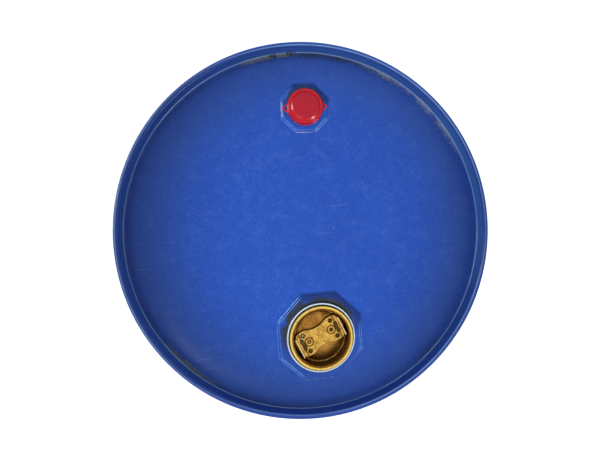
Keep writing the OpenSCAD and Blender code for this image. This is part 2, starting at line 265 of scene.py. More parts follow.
# %% [markdown]
# ## Floor and light
#
# The drum stands on a plain white floor. The floor is an ordinary matt surface that takes the drum's
# shadow; what the camera, a mirror-like surface or clear glass sees of it is lifted to white with a
# little glow of its own, which lights nothing and is weaker near the drum's foot, where it would
# drown the shadow. More lamps would whiten the floor too, but they would also wash out the paint. A
# round pool of light, which leans a little to one side, does the real work. Three lamps low round
# the head show only as a sheen on its raised edges, and four weak ones light the drum's sides.

# %% White floor and surroundings
FLOOR_SIZE = 40.0
FLOOR_GLOW = 0.70
LESS_AT_FOOT, FOOT_SPAN = 0.22, (0.45, 0.2)
SKY_LIGHT = 0.36


def seen_directly(finish):
    """1 for a ray from the camera, from a glossy surface or through clear glass, otherwise 0."""
    path = finish.node("LightPath").outputs
    kinds = ("Is Camera Ray", "Is Glossy Ray", "Is Transmission Ray")
    return any_of(Amount(finish, path[kind]) for kind in kinds)


white = Finish("white_floor")
dimmer = white.place.length().between(*FOOT_SPAN) * -LESS_AT_FOOT
glow = white.node("Emission", Strength=seen_directly(white) * (dimmer + FLOOR_GLOW))
both = white.node("AddShader")
white.feed(both.inputs[0], white.node("BsdfDiffuse", Color=(0.82, 0.82, 0.82)))
white.feed(both.inputs[1], glow)

bpy.ops.mesh.primitive_plane_add(size=FLOOR_SIZE)
floor = bpy.context.object
floor.name = "floor"
floor.data.materials.append(white.surface(both))

world = bpy.data.worlds.new("surroundings")
bpy.context.scene.world = world
sky = Finish("sky", owner=world)
sky_strength = seen_directly(sky) * (1.0 - SKY_LIGHT) + SKY_LIGHT
sky.surface(sky.node("Background", Color=(1.0, 1.0, 1.0), Strength=sky_strength), "OutputWorld")

# %% Lamps
HEAD_CENTRE = Vector((0.0, 0.0, top_high.z))
MIDDLE = Vector((0.0, 0.0, top_high.z / 2))
POOL_CENTRE = HEAD_CENTRE + Vector((0.0, -0.001, 0.0))
POOL_DISTANCE, POOL_LEAN, POOL_RADII = 1.7, math.radians(17.0), (0.179, 0.21)
POOL_BLEND, POOL_SOFTNESS, POOL_WATTS = 0.78, 0.04, 98.0
SHEENS = {
    "near_left": ((-0.9, -1.1, 1.15), 0.8, 15.0),
    "left": ((-1.6, 0.45, 0.62), 0.7, 34.0),
    "near_right": ((1.15, -1.05, 0.6), 0.55, 26.0),
}
SIDE_DISTANCE, SIDE_DROP, SIDE_SIZE, SIDE_WATTS = 1.8, 0.02, 0.6, (11.0, 8.0, 11.0, 13.0)


def set_up(data, name, place, aimed_at, watts):
    """A lamp at `place` that faces `aimed_at`, its own y axis as near to the world's as it can be,
    and that isn't seen itself."""
    data.energy = watts
    made = bpy.data.objects.new(name, data)
    bpy.context.scene.collection.objects.link(made)
    back = (Vector(place) - Vector(aimed_at)).normalized()
    right = Vector((0.0, 1.0, 0.0)).cross(back).normalized()
    facing = Matrix((right, back.cross(right), back)).transposed()
    made.matrix_world = Matrix.Translation(place) @ facing.to_4x4()
    made.visible_camera = False
    return made


def soft_lamp(name, place, aimed_at, size, watts):
    """A square lamp, whose shadows are softer the larger it is."""
    data = bpy.data.lights.new(name, "AREA")
    data.size = size
    return set_up(data, name, place, aimed_at, watts)


pool_data = bpy.data.lights.new("overhead_pool", "SPOT")
pool_data.spot_size = 2 * math.atan(POOL_RADII[0] / POOL_DISTANCE)
pool_data.spot_blend = POOL_BLEND
pool_data.shadow_soft_size = POOL_SOFTNESS
aside = -math.sin(POOL_LEAN) * 0.7
pool_place = POOL_CENTRE + Vector((aside, aside, math.cos(POOL_LEAN))) * POOL_DISTANCE
pool = set_up(pool_data, "overhead_pool", pool_place, POOL_CENTRE, POOL_WATTS)
pool.scale = (1.0, POOL_RADII[1] / POOL_RADII[0], 1.0)
pool.visible_glossy = False

sheen_lamps = []
for name, (away, size, watts) in SHEENS.items():
    sheen = soft_lamp(f"sheen_{name}", HEAD_CENTRE + Vector(away), HEAD_CENTRE, size, watts)
    sheen.visible_diffuse = False
    sheen_lamps.append(sheen)
for step, watts in enumerate(SIDE_WATTS):
    turn = math.radians(45 + 90 * step)
    away = Vector((SIDE_DISTANCE * math.cos(turn), SIDE_DISTANCE * math.sin(turn), -SIDE_DROP))
    soft_lamp(f"side_{step}", MIDDLE + away, MIDDLE, SIDE_SIZE, watts)
bpy.context.scene.view_settings.view_transform = "Standard"
print("lamps:", 1 + len(SHEENS) + len(SIDE_WATTS))

# %% [markdown]
# ## How the sheet metal is made
#
# A drum is rolled, pressed and folded from thin sheet, so nearly every piece is a section carried
# round an axis. Blender's Spin tool or a Screw modifier would do that, but here it is done with
# arrays: a section is a list of points (radius, height), and turning it by every angle at once gives
# a grid of points. The same grid can then be changed by a formula before it becomes a mesh, which is
# how the threads, the octagonal seats and the weld get their form.

# %% Paths and sections


def unit(vectors):
    """Each vector divided by its length."""
    return vectors / np.linalg.norm(vectors, axis=-1, keepdims=True)


def arc(across, up, radius, start, end, steps=8):
    """Points at equal steps on a circle round (across, up), from one angle to another in degrees."""
    angle = np.radians(np.linspace(start, end, steps + 1))
    return np.stack([across + radius * np.cos(angle), up + radius * np.sin(angle)], 1)


def joined(*stretches):
    """One path through all the stretches, without points that repeat the one before them."""
    points = np.vstack([np.atleast_2d(stretch) for stretch in stretches])
    new = np.linalg.norm(np.diff(points, axis=0), axis=1) > 1e-7
    return points[np.r_[True, new]]


def sheet_outline(middle, thickness):
    """The closed outline of a sheet. Each point of the middle line moves half the thickness to both
    sides along the direction that halves its bend, further at a sharper bend, so that the sheet
    keeps its thickness. The side to the left of the path comes first."""
    along = unit(np.diff(middle, axis=0))
    before, after = np.vstack([along[:1], along]), np.vstack([along, along[-1:]])
    left_before = np.stack([-before[:, 1], before[:, 0]], 1)
    left_after = np.stack([-after[:, 1], after[:, 0]], 1)
    halving = unit(left_before + left_after)
    halving = halving / (halving * left_before).sum(1, keepdims=True)
    side = halving * thickness / 2
    return np.vstack([middle + side, (middle - side)[::-1]])


def turned(section, angles, centre=(0.0, 0.0), radius=None):
    """A grid of points: each point (r, z) of the section goes to (r cos a, r sin a, z) for every
    angle a. `radius` may replace r by a grid of radii of its own."""
    spread = np.ones_like(angles)
    r = section[:, :1] * spread if radius is None else radius
    z = section[:, 1:] * spread
    return np.stack([centre[0] + r * np.cos(angles), centre[1] + r * np.sin(angles), z], -1)


def full_turn(count):
    """Angles at equal steps round a whole turn, without the last, which is the first again."""
    return np.linspace(0.0, 2 * np.pi, count, endpoint=False)


def upright(radius, heights):
    """Points of a straight wall at that radius."""
    return np.stack([np.full_like(heights, radius), heights], 1)


# %% From grids to meshes
MERGE = 1e-6


def skin(points, close_rows=True, close_columns=True, lining=None):
    """The four-cornered faces of a grid of points, as index arrays. A closed direction joins its last
    line of points to the first. `lining` marks the rows of faces that get the second finish."""
    rows, columns = points.shape[:2]
    row = np.arange(rows if close_rows else rows - 1)[:, None]
    column = np.arange(columns if close_columns else columns - 1)[None, :]
    next_row, next_column = (row + 1) % rows, (column + 1) % columns
    corners = (
        row * columns + column,
        row * columns + next_column,
        next_row * columns + next_column,
        next_row * columns + column,
    )
    faces = np.stack(np.broadcast_arrays(*corners), -1).reshape(-1, 4)
    marked = np.zeros(len(row), int) if lining is None else lining[: len(row)].astype(int)
    return points.reshape(-1, 3), faces, np.repeat(marked, column.size)


def make_piece(name, skins, sharp=38.0, values=None):
    """One mesh from several skins: doubled points merged, normals turned outwards, and shading smooth
    apart from edges that bend more sharply than `sharp` degrees. `values` names a number for each
    point, which a finish can read."""
    starts = np.cumsum([0] + [len(points) for points, _, _ in skins[:-1]])
    points = np.vstack([points for points, _, _ in skins])
    faces = np.vstack([faces + start for (_, faces, _), start in zip(skins, starts)])
    marks = np.concatenate([marked for _, _, marked in skins])
    mesh = bpy.data.meshes.new(name)
    mesh.from_pydata(points.tolist(), [], faces.tolist())
    mesh.polygons.foreach_set("material_index", marks)
    for key, numbers in (values or {}).items():
        mesh.attributes.new(key, "FLOAT", "POINT").data.foreach_set("value", numbers)
    work = bmesh.new()
    work.from_mesh(mesh)
    bmesh.ops.remove_doubles(work, verts=work.verts, dist=MERGE)
    bmesh.ops.recalc_face_normals(work, faces=work.faces)
    work.to_mesh(mesh)
    work.free()
    mesh.shade_smooth()
    mesh.set_sharp_from_angle(angle=math.radians(sharp))
    piece = bpy.data.objects.new(name, mesh)
    bpy.context.scene.collection.objects.link(piece)
    print(name, "has", len(mesh.polygons), "faces")
    return piece


# %% [markdown]
# ## Measures of the drum
#
# Places come from the measured model: where each bung stands and how high its parts reach. The few
# sizes that a box can't tell, such as the sheet's thickness or the depth of the countersink, are
# repeated here. Heights of the top are counted from the top of the chime, so most are negative.

# %% Sheet, seam and bungs
SHEET = 0.9 * MM
LAYER_GAP = 0.15 * MM
LAYER = SHEET + LAYER_GAP
TOP = top_high.z
CHIME_RADIUS = top_high.x
CHIME_EDGE = 1.35 * MM
CHIME_HEIGHT = 10 * MM
seam_wall = CHIME_RADIUS - SHEET / 2
head_hook, body_wall, chuck_wall = seam_wall - 2 * LAYER, seam_wall - 3 * LAYER, seam_wall - 4 * LAYER
COUNTERSINK = 15 * MM
COUNTERSINK_CORNER = 2 * MM + SHEET / 2
PANEL_Z = -13 * MM
PANEL_RADIUS = chuck_wall - 28 * MM
SEAT_RISE, SEAT_SLOPE = 2 * MM, 2.4 * MM
fold_top = -(SHEET * 1.5 + LAYER_GAP + LAYER)
fold_foot = -CHIME_HEIGHT + LAYER + SHEET / 2
HOOK_GAP = 0.8 * MM


NECK_GAP, LIP_SHEET = 0.15 * MM, 0.8 * MM


def bung(flange, plug, flats, neck, bore, lip_height, hook_drop, pitch, thread):
    """Where a bung stands and what its flange and seat measure. The head's collar lies round the
    flange's neck, and the flange's lip is curled round the collar."""
    (base, lip), (low, high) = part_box(flange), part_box(plug)
    neck = neck * MM
    return SimpleNamespace(
        x=(low.x + high.x) / 2,
        y=(low.y + high.y) / 2,
        lip_z=lip.z,
        base_z=base.z,
        plug_low=low.z,
        plug_high=high.z,
        rim=(high.x - low.x) / 2,
        flats=flats * MM,
        neck=neck,
        bore=bore * MM,
        collar=neck + NECK_GAP + SHEET / 2,
        lip=neck + 2 * NECK_GAP + SHEET + LIP_SHEET,
        lip_height=lip_height * MM,
        hook_drop=hook_drop * MM,
        pitch=pitch * MM,
        thread=thread * MM,
    )


large = bung("large_flange", "large_plug", 86.0, 32.5875, 29.1075, 1.4, 2.0, 2.309, 1.2)
small = bung("small_flange", "small_plug", 49.0, 14.4895, 12.6795, 1.25, 1.4, 1.814, 0.9)
print("bungs stand", round(-large.y / MM, 1), "and", round(small.y / MM, 1), "mm from the axis")

# %% [markdown]
# ## The top head
#
# The head is one round sheet. A press gives it a flat panel with two raised octagonal seats, which
# stop the bungs' flanges from turning, and a seaming machine rolls its edge together with the
# body's. The panel with its two round holes is the awkward part: no single grid round the drum's axis
# fits it. A boolean cut would make the holes and leave ragged edges. Here the panel is two halves
# that meet on the X axis. Each half is a fan of rays from its own bung out to the half's edge, so
# the rays begin on the hole's true circle, and a formula for the height shapes both halves alike.

# %% The head's height, as a formula
CROWN_RISE, CROWN_REACH = 0.9 * MM, 105 * MM
CORNER_ROUNDING = 0.9 * MM
SLOPE_ROUNDING = 0.13
WAVE = 0.12 * MM


def soft_step(u):
    """Rises from 0 to 1 as u goes from 0 to 1, a straight slope whose two ends are rounded: half the
    difference of two hyperbolas, one bending at 0 and one at 1."""
    low = np.sqrt(u**2 + SLOPE_ROUNDING**2)
    high = np.sqrt((u - 1) ** 2 + SLOPE_ROUNDING**2)
    return (1 + low - high) / 2


def octagon_reach(x, y):
    """How far out the octagon through (x, y) has its flats: the largest of the distances along the
    eight flats' normals, as the logarithm of a sum of powers, which rounds the corners."""
    normals = full_turn(8)
    along = x[..., None] * np.cos(normals) + y[..., None] * np.sin(normals)
    return CORNER_ROUNDING * np.log(np.exp(along / CORNER_ROUNDING).sum(-1))


def head_height(x, y):
    """The middle of the head's sheet: a very low crown, a faint waviness as rolled sheet has, and a
    plateau with sloping sides at each bung."""
    from_axis = np.hypot(x, y)
    crown = CROWN_RISE * (1 + np.cos(np.pi * np.clip(from_axis / CROWN_REACH, 0, 1))) / 2
    fade = np.clip((PANEL_RADIUS - from_axis) / (20 * MM), 0, 1)
    wave = WAVE * np.sin(x * 47 + 1.3) * np.sin(y * 39 + x * 11 + 0.4) * fade
    height = TOP + PANEL_Z - SHEET / 2 + crown + wave
    for seat in (large, small):
        inwards = seat.flats / 2 - octagon_reach(x - seat.x, y - seat.y)
        height = height + SEAT_RISE * soft_step(inwards / SEAT_SLOPE)
    return height


# %% Two halves of the panel, each a fan of rays from its bung
FAN_ARC, FAN_LINE = 190, 100
NEAR_STEPS, FAR_STEPS, FAR_GROWTH = 30, 14, 1.4
PAST_SEAT = 6.5 * MM
COLLAR_FILLET = 2 * MM + SHEET / 2


def half_circle_seen_from(seat, side):
    """Points on the panel's circle, from one end of its half to the other, at equal angles as seen
    from the bung: each is where the ray from the bung meets the circle."""
    corner = math.atan2(-seat.y, PANEL_RADIUS)
    angle = np.linspace(corner, side * np.pi - corner, FAN_ARC + 1)
    ray = np.stack([np.cos(angle), np.sin(angle)], 1)
    foot = ray @ np.array([seat.x, seat.y])
    reach = -foot + np.sqrt(foot**2 - seat.x**2 - seat.y**2 + PANEL_RADIUS**2)
    return np.array([seat.x, seat.y]) + ray * reach[:, None]


def panel_half(seat, edge):
    """The fan: on each ray the radius runs up the collar, round its fillet, across the seat and out to
    the edge, and the height beyond the fillet is the head's formula. The steps are even as far as
    the foot of the seat's slope, and then they grow."""
    ray = edge - np.array([seat.x, seat.y])
    reach = np.linalg.norm(ray, axis=1)
    foot = TOP + PANEL_Z + SEAT_RISE - SHEET / 2
    collar_top = seat.lip_z - seat.lip_height - NECK_GAP
    bend = arc(seat.collar + COLLAR_FILLET, foot + COLLAR_FILLET, COLLAR_FILLET, 180, 270, 7)
    tube = joined(np.array([[seat.collar, collar_top], [seat.collar, foot + COLLAR_FILLET]]), bend)
    start = tube[-1, 0]
    around = np.minimum(seat.flats / 2 + PAST_SEAT, start + 0.97 * (reach - start))
    near = start + (around - start) * np.linspace(0, 1, NEAR_STEPS + 1)[1:, None]
    far = around + (reach - around) * (np.linspace(0, 1, FAR_STEPS + 1)[1:, None] ** FAR_GROWTH)
    flat = np.vstack([near, far])
    radius = np.vstack([tube[:, :1] * np.ones_like(reach), flat])
    x = seat.x + radius * ray[:, 0] / reach
    y = seat.y + radius * ray[:, 1] / reach
    z = head_height(x, y)
    z[: len(tube)] = tube[:, 1:]
    return np.stack([x, y, z], -1)


small_arc = half_circle_seen_from(small, 1)
large_arc = half_circle_seen_from(large, -1)[::-1]
small_arc[[0, -1]] = large_arc[[-1, 0]] = [[PANEL_RADIUS, 0.0], [-PANEL_RADIUS, 0.0]]
middle_x = np.linspace(PANEL_RADIUS, -PANEL_RADIUS, FAN_LINE)[1:-1]
middle_line = np.stack([middle_x, np.zeros_like(middle_x)], 1)
large_half = panel_half(large, np.vstack([large_arc, middle_line]))
small_half = panel_half(small, np.vstack([small_arc, middle_line[::-1]]))

# %% Shoulder, countersink and chime


def head_edge():
    """The middle line of the head's sheet from the panel outwards: a shoulder that falls as a cosine,
    the countersink's corner, the wall, over the crown, down outside and up again as the hook."""
    corner_at = chuck_wall - COUNTERSINK_CORNER
    across = np.linspace(0, 1, 13)
    fall = -SHEET / 2 + PANEL_Z - (COUNTERSINK + PANEL_Z) * (1 - np.cos(np.pi * across)) / 2
    shoulder = np.stack([PANEL_RADIUS + (corner_at - PANEL_RADIUS) * across, fall], 1)
    corner_z = -COUNTERSINK - SHEET / 2 + COUNTERSINK_CORNER
    crown_z = -SHEET / 2 - CHIME_EDGE
    return joined(
        shoulder,
        arc(corner_at, corner_z, COUNTERSINK_CORNER, -90, 0, 7),
        arc(chuck_wall + CHIME_EDGE, crown_z, CHIME_EDGE, 180, 90, 6),
        arc(seam_wall - CHIME_EDGE, crown_z, CHIME_EDGE, 90, 0, 6),
        arc((seam_wall + head_hook) / 2, fold_foot, LAYER, 0, -180, 6),
        [[head_hook, fold_top - HOOK_GAP]],
    )


ring_points = np.concatenate([small_arc[:-1], large_arc[:-1]])
ring_angles = np.arctan2(ring_points[:, 1], ring_points[:, 0]) % (2 * np.pi)
edge_ring = turned(head_edge() + [0, TOP], ring_angles)
edge_ring[0, :, 2] = head_height(edge_ring[0, :, 0], edge_ring[0, :, 1])

head_grids = (large_half, small_half, edge_ring)
head_skins = [skin(grid, close_rows=False) for grid in head_grids]
top_head = make_piece("top_head_sheet", head_skins, sharp=60.0)
panel_faces = [face for face in top_head.data.polygons if face.center.to_2d().length < 0.05]
if sum(face.normal.z for face in panel_faces) < 0:
    top_head.data.flip_normals()
wall = top_head.modifiers.new("sheet", "SOLIDIFY")
wall.thickness = SHEET
wall.offset = 0.0
wall.use_even_offset = True
wall.material_offset = 1
wall.material_offset_rim = 0

# %% [markdown]
# ## The bottom head and the body
#
# The bottom head is the same pressing without seats, the other way up. The body is one sheet, rolled
# into a tube, welded down its side, swelled out into two rolling hoops and folded into both seams.
# A drum is made so that it can be rolled on its hoops and lifted by its chimes. The weld shows as a
# low, slightly rippled line, so extra angles are put in where it runs and the radius is raised there.

# %% Bottom head
bottom_edge = head_edge()
bottom_middle = joined([[0.0, bottom_edge[0, 1]]], bottom_edge) * [1, -1]
bottom_outline = sheet_outline(bottom_middle, SHEET)
bottom_outline[:, 0] = np.maximum(bottom_outline[:, 0], 0.0)
inner_side = np.arange(len(bottom_outline)) < len(bottom_middle)
bottom_skin = skin(turned(bottom_outline, full_turn(320)), lining=inner_side)
bottom_head = make_piece("bottom_head_sheet", [bottom_skin], sharp=60.0)

# %% Body with hoops and weld
HOOP_SPACING, HOOP_HEIGHT, HOOP_RISE = 206 * MM, 32 * MM, 8 * MM
WELD_ANGLE, WELD_HALF, WELD_RISE = math.radians(128.0), 2.2 * MM, 0.25 * MM


def hoop(height):
    """A hoop's middle line, walked downwards: the radius swells by one whole cosine wave."""
    across = np.linspace(0, 1, 21)
    swell = HOOP_RISE * (1 - np.cos(2 * np.pi * across)) / 2
    return np.stack([body_wall + swell, height + HOOP_HEIGHT * (0.5 - across)], 1)


def plain_wall(start, end):
    """The straight stretches between seam and hoops, in six steps."""
    return upright(body_wall, np.linspace(start, end, 7))


upper_hoop, lower_hoop = (TOP + HOOP_SPACING) / 2, (TOP - HOOP_SPACING) / 2
half_hoop = HOOP_HEIGHT / 2
body_middle = joined(
    [[body_wall + 2 * LAYER, TOP + fold_foot + HOOK_GAP]],
    arc(head_hook, TOP + fold_top, LAYER, 0, 180, 6),
    plain_wall(TOP + fold_top, upper_hoop + half_hoop),
    hoop(upper_hoop),
    plain_wall(upper_hoop - half_hoop, lower_hoop + half_hoop),
    hoop(lower_hoop),
    plain_wall(lower_hoop - half_hoop, -fold_top),
    arc(head_hook, -fold_top, LAYER, 180, 360, 6),
    [[body_wall + 2 * LAYER, -fold_foot - HOOK_GAP]],
)
body_outline = sheet_outline(body_middle, SHEET)
outer_side = np.arange(len(body_outline)) < len(body_middle)
weld_span = WELD_HALF / body_wall
near_weld = WELD_ANGLE + weld_span * np.linspace(-2.2, 2.2, 19)
even_angles = full_turn(336)
off_weld = even_angles[np.abs(even_angles - WELD_ANGLE) > weld_span * 2.4]
body_angles = np.sort(np.concatenate([off_weld, near_weld]))
from_weld = (body_angles - WELD_ANGLE) / weld_span
weld_height = body_outline[:, 1:]
below_seam = np.clip((TOP / 2 - COUNTERSINK - 2 * MM - np.abs(weld_height - TOP / 2)) / (2 * MM), 0, 1)
rippled = 0.85 + 0.15 * np.sin(weld_height / MM * 2.1)
bead = WELD_RISE * np.exp(-(from_weld**2)) * below_seam * rippled
body_radius = body_outline[:, :1] + bead * np.where(outer_side, 1, -1)[:, None]
body_skin = skin(turned(body_outline, body_angles, radius=body_radius), lining=~outer_side)
body_shell = make_piece("body_sheet", [body_skin], sharp=60.0)

# %% [markdown]
# ## Threads, flanges and plugs
#
# A flange is a threaded ring with an eight-sided foot under the head. Its neck is pushed up through
# the hole, and its thin lip is curled over the head's collar, so it can't fall in or turn. The plug
# is a pressed steel cup whose side is rolled into a thread. A thread is a ridge that climbs one pitch
# in each turn: its height at a point depends only on z / pitch - angle / turn. Both threads use that
# same formula, so they fit into each other, and they still do when the plug is screwed out.

# %% Thread and flange
THREAD_PLAY = 0.1 * MM
BASE_THICKNESS = 2.5 * MM
BORE_EDGE = 0.9 * MM
SEAL_DROP = 0.45 * MM


def thread_wave(outline, angles, size, weight):
    """The radius of a threaded surface: a cosine of z / pitch - angle / turn, half the thread's depth
    high, faded by `weight` where the thread runs out."""
    phase = outline[:, 1:] / size.pitch - angles / (2 * np.pi)
    return outline[:, :1] + weight[:, None] * size.thread / 2 * np.cos(2 * np.pi * phase)


def fade_between(z, low, high, run_out):
    """1 well inside low to high, and 0 outside, over the run-out at each end."""
    return np.clip(np.minimum(z - low, high - z) / run_out, 0, 1)


def flange(name, size):
    """The flange's section, turned: threaded bore, curled lip, and a foot whose outer corner follows
    the octagon, whose radius is apothem / cos(angle from the flat's middle)."""
    base_top = size.base_z + BASE_THICKNESS
    apothem = size.flats / 2 - SEAT_SLOPE - SHEET - 1 * MM
    under_lip = size.lip_z - size.lip_height
    lip_in = size.lip - LIP_SHEET
    bead = 0.5 * (size.lip_height + BORE_EDGE)
    seat_z = size.lip_z - SEAL_DROP
    bore_top = size.lip_z - BORE_EDGE
    bore = upright(size.bore + THREAD_PLAY, np.linspace(bore_top, size.base_z, 68))
    outline = joined(
        bore,
        [[apothem, size.base_z], [apothem, base_top], [size.neck, base_top]],
        [[size.neck, under_lip], [lip_in, under_lip], [lip_in, under_lip - size.hook_drop]],
        [[size.lip - 0.2 * MM, under_lip - size.hook_drop - 0.15 * MM]],
        arc(size.lip - bead, size.lip_z - bead, bead, 0, 90, 9),
        arc(size.lip - bead, size.lip_z - bead, bead, 90, 145, 6),
        [[size.bore + 0.5 * MM, seat_z], [size.bore + 0.15 * MM, seat_z - 0.25 * MM]],
    )
    angles = full_turn(256)
    weight = fade_between(outline[:, 1], size.base_z, bore_top, 1.2 * MM)
    weight[len(bore) :] = 0
    radius = thread_wave(outline, angles, size, weight)
    from_flat = (angles + np.pi / 8) % (np.pi / 4) - np.pi / 8
    foot = slice(len(bore), len(bore) + 2)
    radius[foot] = apothem / np.cos(from_flat)
    return make_piece(name, [skin(turned(outline, angles, (size.x, size.y), radius))], sharp=45.0)


large_flange = flange("large_flange_threaded", large)
small_flange = flange("small_flange_threaded", small)

# %% Large plug
PLUG_SHEET = 1.5 * MM
PLUG_RADIUS = 29.0275 * MM
gasket_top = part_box("large_plug_gasket")[1].z


def plug_section():
    """The cup's section from the axis under the floor, up the threaded side, round the rolled rim and
    down the inside to the axis again. The side is cut into short steps that the thread can move."""
    floor = large.plug_low + PLUG_SHEET
    rim = gasket_top
    top = large.plug_high
    inner = PLUG_RADIUS - PLUG_SHEET
    side = upright(PLUG_RADIUS - THREAD_PLAY, np.linspace(floor + 0.2 * MM, rim - 0.3 * MM, 74))
    roll, brow, heel, step = 0.75 * MM, 1.9 * MM, 1.7 * MM, 0.5 * MM
    panel, dent = floor + 0.55 * MM, large.plug_low + step
    return side, joined(
        side,
        [[PLUG_RADIUS - THREAD_PLAY, rim]],
        arc(large.rim - roll, rim + roll, roll, -90, 0, 5),
        arc(large.rim - roll, top - roll, roll, 0, 90, 5),
        arc(inner + brow, top - brow, brow, 90, 180, 9),
        arc(inner - heel, floor + heel, heel, 0, -90, 9),
        arc(25.2 * MM, floor + step, step, -90, -160, 3),
        [[24.4 * MM, panel], [1e-9, panel], [1e-9, dent], [20.6 * MM, dent]],
        [[21.6 * MM, large.plug_low]],
        arc(PLUG_RADIUS - PLUG_SHEET - THREAD_PLAY, floor, PLUG_SHEET, -90, 0, 6),
    )


thread_side, plug_outline = plug_section()
thread_low, thread_high = large.plug_low + 1.4 * MM, gasket_top - 0.9 * MM
plug_weight = fade_between(plug_outline[:, 1], thread_low, thread_high, 1.3 * MM)
plug_weight[len(thread_side) :] = 0
plug_angles = full_turn(256)
plug_radius = thread_wave(plug_outline, plug_angles, large, plug_weight)
plug_skin = skin(turned(plug_outline, plug_angles, (large.x, large.y), plug_radius))
large_plug = make_piece("large_plug_cup", [plug_skin])

# %% Gaskets


def rubber_ring(name, node, inner):
    """A flat ring with bulging sides: its section is a rectangle with two half-round ends. It reaches
    down to the face inside the flange's bead and stands a little off the plug's side."""
    low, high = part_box(node)
    low.z = low.z - SEAL_DROP
    inner = inner + 0.3 * MM
    outer, half, middle = (high.x - low.x) / 2, (high.z - low.z) / 2, (low.z + high.z) / 2
    section = joined(
        arc(outer - half, middle, half, -90, 90, 8),
        arc(inner + half, middle, half, 90, 270, 8),
    )
    centre = ((low.x + high.x) / 2, (low.y + high.y) / 2)
    return make_piece(name, [skin(turned(section, full_turn(192), centre))])


large_gasket = rubber_ring("large_plug_seal_ring", "large_plug_gasket", PLUG_RADIUS)
small_gasket = rubber_ring("small_plug_seal_ring", "small_plug_gasket", small.bore - 0.08 * MM)

# %% [markdown]
# ## The wrench plate
#
# A bung wrench has to grip something inside the plug's cup. On this kind it is a thick pressed plate
# with hollow sides and a lug bent up at each end, spot-welded to the cup's floor. The welds leave
# dimples in the four corners and a ring with a dimple near each lug. It could be cut from a cube with
# booleans and then bevelled; instead it is a strip of sheet worked out point by point. Its surface
# is a height formula, so dimples, ring grooves and the slots at the lugs' roots are terms in a sum.

# %% A strip of thick sheet with rounded edges


def metal_strip(line, half, across, thickness, edge, sunk=None):
    """A strip whose middle line runs in the x-z plane and whose width runs along y. Both faces stand
    half the thickness from the line; within `edge` of the outline they curve together as a quarter
    circle. `sunk` gives how deep the upper face is pressed in at (distance along, y)."""
    along = unit(np.gradient(line, axis=0))
    normal = np.stack([-along[:, 1], along[:, 0]], 1)
    length = np.concatenate([[0.0], np.cumsum(np.linalg.norm(np.diff(line, axis=0), axis=1))])
    y = half[:, None] * across[None, :]
    to_end = np.minimum(length, length[-1] - length)[:, None]
    inwards = np.clip(np.minimum(half[:, None] - np.abs(y), to_end) / edge, 0, 1)
    lost = edge * (1 - np.sqrt(1 - (1 - inwards) ** 2))
    down = thickness / 2 - lost
    up = down if sunk is None else np.maximum(down - sunk(line[:, :1], y), -down + 0.04 * MM)

    def face(offset):
        x = line[:, :1] + normal[:, :1] * offset
        z = line[:, 1:] + normal[:, 1:] * offset
        return np.stack([x, y, z], -1)

    loops = np.concatenate([face(up), face(-down)[:, ::-1]], axis=1)
    points, faces, marked = skin(loops, close_rows=False)
    columns, last = loops.shape[1], len(line) - 1
    j = np.arange(len(across) - 1)
    ends = [
        np.stack([r * columns + k for k in (j, j + 1, columns - 2 - j, columns - 1 - j)], 1)
        for r in (0, last)
    ]
    faces = np.vstack([faces, *ends])
    return points, faces, np.zeros(len(faces), int)


def gathered(count):
    """Numbers from -1 to 1 that crowd together at both ends, as the sine of equal steps."""
    return np.sin(np.linspace(-np.pi / 2, np.pi / 2, count))


# %% The pressed plate
PLATE_TURN = math.radians(23.4)
PLATE = 1.5 * MM
lug_x = PLUG_RADIUS - PLUG_SHEET - 3.85 * MM
lug_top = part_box("wrench_plate")[1].z
plate_under = large.plug_low + PLUG_SHEET + 2 * MM
ear_x, end_x, ear_half, waist_half = lug_x - 3.4 * MM, lug_x - 0.9 * MM, 13 * MM, 9.8 * MM
waist_reach = 12 * MM
waist_dip = ear_half - waist_half
waist_radius = (waist_reach**2 + waist_dip**2) / (2 * waist_dip)
boss_x, slot_x, slot_half = lug_x - 11 * MM, lug_x - 4.6 * MM, 4.4 * MM
foot_x, foot_y = lug_x - 7.9 * MM, ear_half - 4.2 * MM
RING = 4.3 * MM


def plate_half_width(x):
    """Hollow sides as circle arcs that meet the straight ears, and ears with cut corners."""
    away = np.abs(x)
    hollow = waist_half + waist_radius - np.sqrt(waist_radius**2 - np.minimum(away, waist_reach) ** 2)
    corner = ear_half - 0.8 * np.clip(away - ear_x, 0, None)
    return np.minimum(np.minimum(hollow, ear_half), corner)


def bell(distance, width):
    """A bell curve: 1 at distance 0, and nearly nothing at twice the width."""
    return np.exp(-((distance / width) ** 2))


def from_marks(x, y):
    """Distances to the nearest corner dimple, ring and slot. The plate is alike on all four sides of
    its two middle lines, so x and y lose their signs."""
    x, y = np.abs(x), np.abs(y)
    foot = np.hypot(x - foot_x, y - foot_y)
    boss = np.hypot(x - boss_x, y)
    return foot, boss, np.hypot(x - slot_x, np.maximum(y - slot_half, 0))


def pressed_in(x, y):
    """Depth of the marks: round dimples as bell curves, ring grooves as bells of the distance from
    their circle, and slots as steep-sided pits nearly through the sheet."""
    foot, boss, to_slot = from_marks(x, y)
    depth = 0.75 * MM * bell(foot - 1.55 * MM, 0.55 * MM) + 0.25 * MM * bell(foot, 2.4 * MM)
    depth += 0.55 * MM * bell(boss - RING, 0.42 * MM) + 0.15 * MM * bell(boss, 3.4 * MM)
    depth += 0.8 * MM * np.clip((2.0 * MM - boss) / (0.7 * MM), 0, 1)
    return depth + 1.46 * MM * np.clip((1.65 * MM - to_slot) / (0.4 * MM), 0, 1)


plate_x = end_x * gathered(161)
plate_line = np.stack([plate_x, np.full_like(plate_x, plate_under + PLATE / 2)], 1)
plate_skin = metal_strip(
    plate_line, plate_half_width(plate_x), gathered(101), PLATE, 0.4 * MM, pressed_in
)

